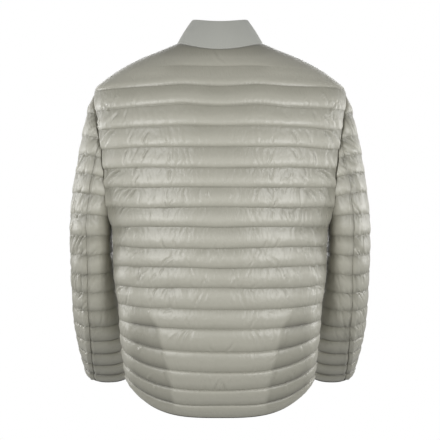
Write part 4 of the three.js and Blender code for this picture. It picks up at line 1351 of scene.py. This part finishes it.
base = neck_line()
COLLAR_SECTION = collar_section(base, collar_top(base))
count_down, count_along = COLLAR_SECTION.shape[:2]
faces = grid_faces(count_down, count_along)[:, ::-1]
index = np.arange(count_down * count_along).reshape(count_down, count_along)
foot_faces = ladder(index[0], index[-1])[:, ::-1]
half_count = count_down // 2
ends = []
for column, turned in ((0, False), (-1, True)):
    line = index[:, column]
    end = ladder(line[:half_count], line[::-1][:half_count])
    ends.append(end[:, ::-1] if turned else end)
down = np.linspace(0, 1, count_down)[:, None] * 2 * (COLLAR.top - body_ring(0).back)
around = np.arange(count_along)[None] * (np.linalg.norm(base[1] - base[0]))
uv = np.stack(np.broadcast_arrays(around, down), axis=-1).reshape(-1, 2)
collar_faces = np.concatenate([faces, foot_faces, *ends])
PIECES["collar_band"] = mesh_piece(
    "collar_band", COLLAR_SECTION.reshape(-1, 3), collar_faces, KNIT, uv=uv
)

# %% [markdown]
# ## The bindings
#
# A narrow tape wraps the raw edge at the hem and the cuffs. Its section is a folded strip, an
# oval open towards the panel, and it is carried along the edge.

# %% The bindings
BINDING = SimpleNamespace(
    centre=2.1, half_height=1.8, half_thick=1.75, inset=0.9, sides=12, open=np.radians(145), inside=0.72
)


def binding_points(edge, down, out):
    """The folded strip's section carried along an edge: an oval open towards the panel, with
    the outside first and the inside back. down and out give its two ways."""
    turn = np.linspace(-BINDING.open, BINDING.open, BINDING.sides)
    turn = np.r_[turn, turn[::-1], turn[0]]
    size = np.r_[np.ones(BINDING.sides), np.full(BINDING.sides, BINDING.inside), 1.0]
    middle = edge + down * BINDING.centre - out * BINDING.inset
    high = (np.cos(turn) * size)[:, None, None] * BINDING.half_height
    thick = (np.sin(turn) * size)[:, None, None] * BINDING.half_thick
    return middle[None] + down[None] * high + out[None] * thick


def binding_piece(name, edge, down, out, closed, mirror=False):
    points = binding_points(edge, down, out)
    sides, along = points.shape[:2]
    faces = grid_faces(sides, along)
    if not closed:
        caps = []
        for column, turned in ((0, True), (along - 1, False)):
            outside = np.arange(BINDING.sides) * along + column
            inside = np.arange(sides - 2, BINDING.sides - 1, -1) * along + column
            cap = ladder(outside, inside)
            caps.append(cap[:, ::-1] if turned else cap)
        faces = np.concatenate([faces, *caps])
    length = line_lengths(edge)
    around = np.linspace(0, 2 * np.pi * BINDING.half_height, sides)[:, None]
    uv = np.stack(np.broadcast_arrays(length[None], around), axis=-1).reshape(-1, 2)
    PIECES[name] = mesh_piece(name, points.reshape(-1, 3), faces, BINDING_TAPE, uv=uv, mirror=mirror)


HEM_POINTS = SimpleNamespace(front=120, back=240)
CUFF_POINTS = 160
BINDING_REACH = 0.25  # rows above the edge, to tell which way the panel runs down to it


def hem_round(row):
    """The hem's line at a row, from the zip's left side round the back to its right side."""
    share = np.linspace(0, 1, HEM_POINTS.front)
    rows = np.full_like(share, row)
    start, end = inner_angle(rows), outer_angle(rows, False)
    left = body_point(rows, start + (end - start) * share, False)
    turn = np.linspace(-1, 1, HEM_POINTS.back)[1:-1]
    back = body_point(np.full_like(turn, row), np.pi / 2 * (1 - np.abs(turn)), True)
    back[:, 0] *= -np.sign(turn)
    return np.concatenate([left, back, (left * (-1, 1, 1))[::-1]])


edge = hem_round(HEM_ROW)
down = unit(edge - hem_round(HEM_ROW - BINDING_REACH))
out = unit(np.cross(down, np.gradient(edge, axis=0)))
binding_piece("hem_tape", edge, down, out, closed=False)

turn = np.linspace(0, 2 * np.pi, CUFF_POINTS + 1)
turn = np.where(turn > np.pi, turn - 2 * np.pi, turn)
edge = sleeve_point(np.full_like(turn, CUFF_ROW), turn)
edge[-1] = edge[0]
above = sleeve_point(np.full_like(turn, CUFF_ROW - BINDING_REACH), turn)
down = unit(edge - above)
along = np.roll(edge[:-1], -1, axis=0) - np.roll(edge[:-1], 1, axis=0)
out = unit(np.cross(down[:-1], along))
out = np.concatenate([out, out[:1]])
down[-1] = down[0]
for hand, mirror in (("left", False), ("right", True)):
    binding_piece(f"cuff_tape_{hand}", edge, down, out, closed=True, mirror=mirror)

# %% [markdown]
# ## The zip
#
# Moulded teeth are clamped one by one to the edge of each tape, and the slider wedges the two
# rows together. The tape is a section carried along the zip's line. The teeth are one mesh a
# side: the same small block at even steps, those of one side between those of the other.

# %% The zip's line and its tapes
ZIP = SimpleNamespace(
    parting=1.1, cord=3.9, cord_top=-0.9, tape=14, tape_wall=1.0, on_body=-3.2, on_collar=-4.2
)
TOOTH = SimpleNamespace(pitch=2.9, half=0.62, inner=-1.0, outer=3.5, foot=-1.3, top=0.8, taper=0.75)


def zip_line():
    """Points down the middle from the collar's top to the hem, each tape's height there, and
    the two ways: down the line and out of the cloth."""
    foot = body_point(np.array([NECK.row]), np.pi / 2, False)
    foot[:, 0] = ZIP_HALF
    head = collar_top(foot)
    rows = np.arange(1.75, HEM_ROW + 0.01, 0.25)
    body = body_point(rows, np.full_like(rows, np.pi / 2), False)
    points = np.concatenate([head + (foot - head) * 0.02, (head + foot) / 2, foot, body])
    points[:, 0] = 0
    heights = np.r_[np.full(3, ZIP.on_collar), np.full(len(rows), ZIP.on_body)]
    fall = unit(np.gradient(points, axis=0))
    out = np.stack([np.zeros(len(fall)), fall[:, 2], -fall[:, 1]], axis=-1)
    return points, heights, fall, out


def carried(x, height, points, out):
    """Section points at x across and at a height over the line, for each point of the line."""
    places = points[None] + out[None] * height[..., None]
    places[..., 0] = x
    return places


points, heights, fall, out = zip_line()
xs = np.array([ZIP.parting, ZIP.cord, ZIP.cord, ZIP.tape, ZIP.tape, ZIP.parting, ZIP.parting])
levels = np.stack(
    [
        np.full_like(heights, ZIP.cord_top),
        np.full_like(heights, ZIP.cord_top),
        heights,
        heights,
        heights - ZIP.tape_wall,
        heights - ZIP.tape_wall,
        np.full_like(heights, ZIP.cord_top),
    ]
)
section = carried(xs[:, None], levels, points, out)
sides, along = section.shape[:2]
index = np.arange(sides * along).reshape(sides, along)
caps = []
for column, turned in ((0, True), (-1, False)):
    a, b, c, d, e, f, _ = index[:, column]
    cap = np.array([(a, b, c), (a, c, f), (c, d, e), (c, e, f)])
    caps.append(cap[:, ::-1] if turned else cap)
tape_faces = np.concatenate([grid_faces(sides, along), *caps])
down_tape = line_lengths(points)
across_tape = np.array([0, 4, 6, 16, 17, 31, 34.0])  # cloth coordinates round the section
tape_uv = np.stack(np.broadcast_arrays(across_tape[:, None], down_tape[None]), -1).reshape(-1, 2)
for hand, mirror in (("left", False), ("right", True)):
    name = f"zip_tape_{hand}"
    PIECES[name] = mesh_piece(
        name, section.reshape(-1, 3), tape_faces, ZIP_TAPE, tape_uv, mirror=mirror, smooth_shading=False
    )

# %% The zip's teeth


def evenly(line, values, pitch, start=0.5):
    """Places a pitch apart along a line, and other values of the line at them."""
    lengths = line_lengths(line)
    even = (np.arange(int(lengths[-1] / pitch - start)) + start) * pitch
    return [np.stack([np.interp(even, lengths, v[:, k]) for k in range(3)], -1) for v in (line, *values)]


BLOCK = np.array([(a, b, c) for c in (0, 1) for b in (0, 1) for a in (0, 1)])
BLOCK_FACES = np.array(
    [
        (0, 2, 1), (1, 2, 3), (4, 5, 6), (5, 7, 6), (0, 1, 4), (1, 5, 4),
        (2, 6, 3), (3, 6, 7), (0, 4, 2), (2, 4, 6), (1, 3, 5), (3, 7, 5),
    ]
)  # fmt: skip


def repeated(name, corners, faces, material, mirror=False):
    """One mesh of many copies: corners is an array of copies by points by three."""
    copies, count = corners.shape[:2]
    all_faces = (faces[None] + np.arange(copies)[:, None, None] * count).reshape(-1, 3)
    PIECES[name] = mesh_piece(
        name, corners.reshape(-1, 3), all_faces, material, mirror=mirror, smooth_shading=False
    )


for hand, mirror, start in (("left", False, 0.5), ("right", True, 1.0)):
    at, way, up = evenly(points, (fall, out), TOOTH.pitch, start)
    a, b, c = BLOCK[None, :, 0, None], BLOCK[None, :, 1, None], BLOCK[None, :, 2, None]
    shrink = 1 - (1 - TOOTH.taper) * c
    corners = (
        at[:, None]
        + way[:, None] * (2 * b - 1) * TOOTH.half * shrink
        + up[:, None] * (TOOTH.foot + (TOOTH.top - TOOTH.foot) * c)
    )
    centre = (TOOTH.inner + TOOTH.outer) / 2
    corners[..., 0] = (centre + (2 * a - 1) * (TOOTH.outer - centre) * shrink)[..., 0]
    repeated(f"zip_teeth_{hand}", corners, BLOCK_FACES, TEETH, mirror)

# %% [markdown]
# ## The stitching
#
# Quilting is sewn with a lockstitch: a short bead of thread, a hole, and the next bead. A
# stitch here is eight triangles, with its ends in the cloth. They are drawn 3.6 mm apart, a
# little longer than real ones, along the same lines that the panels were raised from.

# %% Stitches along every quilting line
STITCH = SimpleNamespace(pitch=3.6, half=1.35, wide=0.42, high=0.5, sunk=0.25)
STITCH_FACES = np.array(
    [(0, 2, 4), (2, 1, 4), (1, 3, 4), (3, 0, 4), (2, 0, 5), (1, 2, 5), (3, 1, 5), (0, 3, 5)]
)


def stitches(line, out):
    """The six points of each stitch: two ends, two sides, the top and the bottom."""
    ahead = unit(np.gradient(line, axis=0))
    at, way, up = evenly(line, (ahead, out), STITCH.pitch)
    way = unit(way)
    up = unit(up - way * np.sum(up * way, axis=-1, keepdims=True))
    side = np.cross(up, way)
    return np.stack(
        [
            at + way * STITCH.half - up * STITCH.sunk,
            at - way * STITCH.half - up * STITCH.sunk,
            at + side * STITCH.wide,
            at - side * STITCH.wide,
            at + up * STITCH.high,
            at - up * STITCH.sunk,
        ],
        axis=1,
    )


def quilting_stitches(parts, rows, lines):
    """The stitches of one panel: along each of its quilting lines but the seams."""
    outer, normal = parts[0], parts[-1]
    found = []
    for line in lines[1:-1]:
        at_line = np.flatnonzero(np.isclose(rows, line))
        if len(at_line) and rows[0] < line:
            k = at_line[0]
            reach = np.linalg.norm(np.diff(outer[k], axis=0), axis=1).sum()
            if reach > 4 * STITCH.pitch:
                found.append(stitches(outer[k], normal[k]))
    return found


STITCHED = {"back": ["back"], "front_left": ["front_left"], "front_right": ["front_right"]}
for hand in ("left", "right"):
    STITCHED[f"upper_sleeve_{hand}"] = [f"upper_sleeve_{hand}"]
    STITCHED[f"under_sleeve_{hand}"] = [f"under_sleeve_{hand}_back", f"under_sleeve_{hand}_front"]
for piece_name, panel_names in STITCHED.items():
    found = []
    for name, parts, rows, lines, mirror in STITCH_LINES:
        if name in panel_names:
            found += quilting_stitches(parts, rows, lines)
            mirrored = mirror
    repeated(f"{piece_name}_stitches", np.concatenate(found), STITCH_FACES, THREAD, mirrored)

COLLAR_STITCH_ROW = 2  # the collar is topstitched about 4 mm over its seam, right round
collar_line = COLLAR_SECTION[COLLAR_STITCH_ROW]
collar_out = unit(collar_line - COLLAR_SECTION[-1 - COLLAR_STITCH_ROW])
repeated("collar_stitches", stitches(collar_line, collar_out), STITCH_FACES, THREAD)

# %% [markdown]
# ## Bodies, slots and cuts
#
# Each new piece rides on the jacket's body and stands for its solid, and a table lists how large
# its cloth was cut. The slider and its pull tab keep their solids, finished as plated steel.

# %% Finishes for the slider and the pull tab
for name in ("zip_slider", "zip_pull"):
    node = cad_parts[name]
    node.data.materials.clear()
    node.data.materials.append(STEEL)

# %% Riding and replacing
SHELL, RIB, BIND, ZIPPER = "shell_nylon", "collar_knit", "binding_tape", "zip_tape"
# Each line: the piece, its node and slot, its width and length laid flat in metres, its flat area
# in square metres where it isn't a rectangle, and what is sewn or clamped on it. The sizes are
# rounded from measures along the shells' own lines and seams, because no pattern is known.
CUTS = [
    ("back_shell", "back", SHELL, (0.61, 0.82), 0.4, ["back_stitches"]),
    ("front_left_shell", "front_left", SHELL, (0.285, 0.81), 0.183, ["front_left_stitches"]),
    ("front_right_shell", "front_right", SHELL, (0.285, 0.81), 0.183, ["front_right_stitches"]),
    ("collar_band", "collar", RIB, (0.567, 0.053), 0.0296, ["collar_stitches"]),
    ("hem_tape", "hem_binding", BIND, (0.99, 0.01), None, []),
]
for hand in ("left", "right"):
    upper, under = f"upper_sleeve_{hand}", f"under_sleeve_{hand}"
    CUTS += [
        (f"{upper}_shell", upper, SHELL, (0.245, 0.71), 0.13, [f"{upper}_stitches"]),
        (f"{under}_shell", under, SHELL, (0.195, 0.59), 0.076, [f"{under}_stitches"]),
        (f"cuff_tape_{hand}", f"cuff_binding_{hand}", BIND, (0.3, 0.01), None, []),
        (f"zip_tape_{hand}", f"zip_{hand}", ZIPPER, (0.017, 0.698), None, [f"zip_teeth_{hand}"]),
    ]

for name, node, slot_name, flat, area, on_it in CUTS:
    piece = PIECES[name]
    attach(piece, BODY_NAME)
    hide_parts(node)
    for small in on_it:
        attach(PIECES[small], BODY_NAME)
print("declared sheets:", len(CUTS))

# %% [markdown]
# ## The studio
#
# The floor lies where a wearer's feet would be. The background is the white of the world.

# %% Floor, world and lights
FLOOR_Z = -1.45
FLOOR_HALF = 1.6

floor_mesh = bpy.data.meshes.new("floor")
corners = [(x, y, FLOOR_Z) for x, y in ((-1, -1), (1, -1), (1, 1), (-1, 1))]
floor_mesh.from_pydata([(x * FLOOR_HALF, y * FLOOR_HALF, z) for x, y, z in corners], [], [(0, 1, 2, 3)])
floor = bpy.data.objects.new("floor", floor_mesh)
bpy.context.collection.objects.link(floor)
floor_mesh.materials.append(plain_finish("floor_matte_paint", "D9D9D6", "D4D4D1", 0.8, 0.0, 3.0))

bpy.context.scene.view_settings.view_transform = "Standard"
SEEN_WHITE = 1.0  # what the camera sees past the jacket
FILL_LIGHT = 0.12  # how brightly the same white lights the cloth from all round

world = bpy.data.worlds.new("studio")
bpy.context.scene.world = world
world.use_nodes = True
background = world.node_tree.nodes["Background"]
background.inputs["Color"].default_value = linear("FFFFFF")
rays = world.node_tree.nodes.new("ShaderNodeLightPath")
strength = world.node_tree.nodes.new("ShaderNodeMapRange")
strength.inputs["To Min"].default_value = FILL_LIGHT
strength.inputs["To Max"].default_value = SEEN_WHITE
world.node_tree.links.new(rays.outputs["Is Camera Ray"], strength.inputs["Value"])
world.node_tree.links.new(strength.outputs["Result"], background.inputs["Strength"])


SPREAD = np.radians(120)  # a grid on each box keeps its light off the floor


def soft_light(name, place, aim, size, watts):
    """A soft box, size metres wide and high, that faces a point and isn't seen itself."""
    data = bpy.data.lights.new(name, "AREA")
    data.shape = "RECTANGLE"
    data.size, data.size_y = size
    data.energy = watts
    lamp = bpy.data.objects.new(name, data)
    lamp.location = place
    way = np.array(place, float) - np.array(aim, float)
    way /= np.linalg.norm(way)
    lamp.rotation_euler = (np.arccos(way[2]), 0, np.arctan2(way[1], way[0]) + np.pi / 2)
    lamp.visible_camera = False
    data.spread = SPREAD
    bpy.context.collection.objects.link(lamp)


MIDDLE = (0, 0, -0.35)
for side in (1, -1):
    soft_light(f"near_box_{side}", (side * 0.85, 1.2, -0.12), (0, 0, -0.36), (0.6, 0.6), 4.7)
    soft_light(f"side_box_{side}", (side * 2.1, -0.55, -0.1), MIDDLE, (0.8, 1.1), 8.5)
soft_light("wall_box", (0, -2.3, 0.4), MIDDLE, (4.0, 1.8), 30)
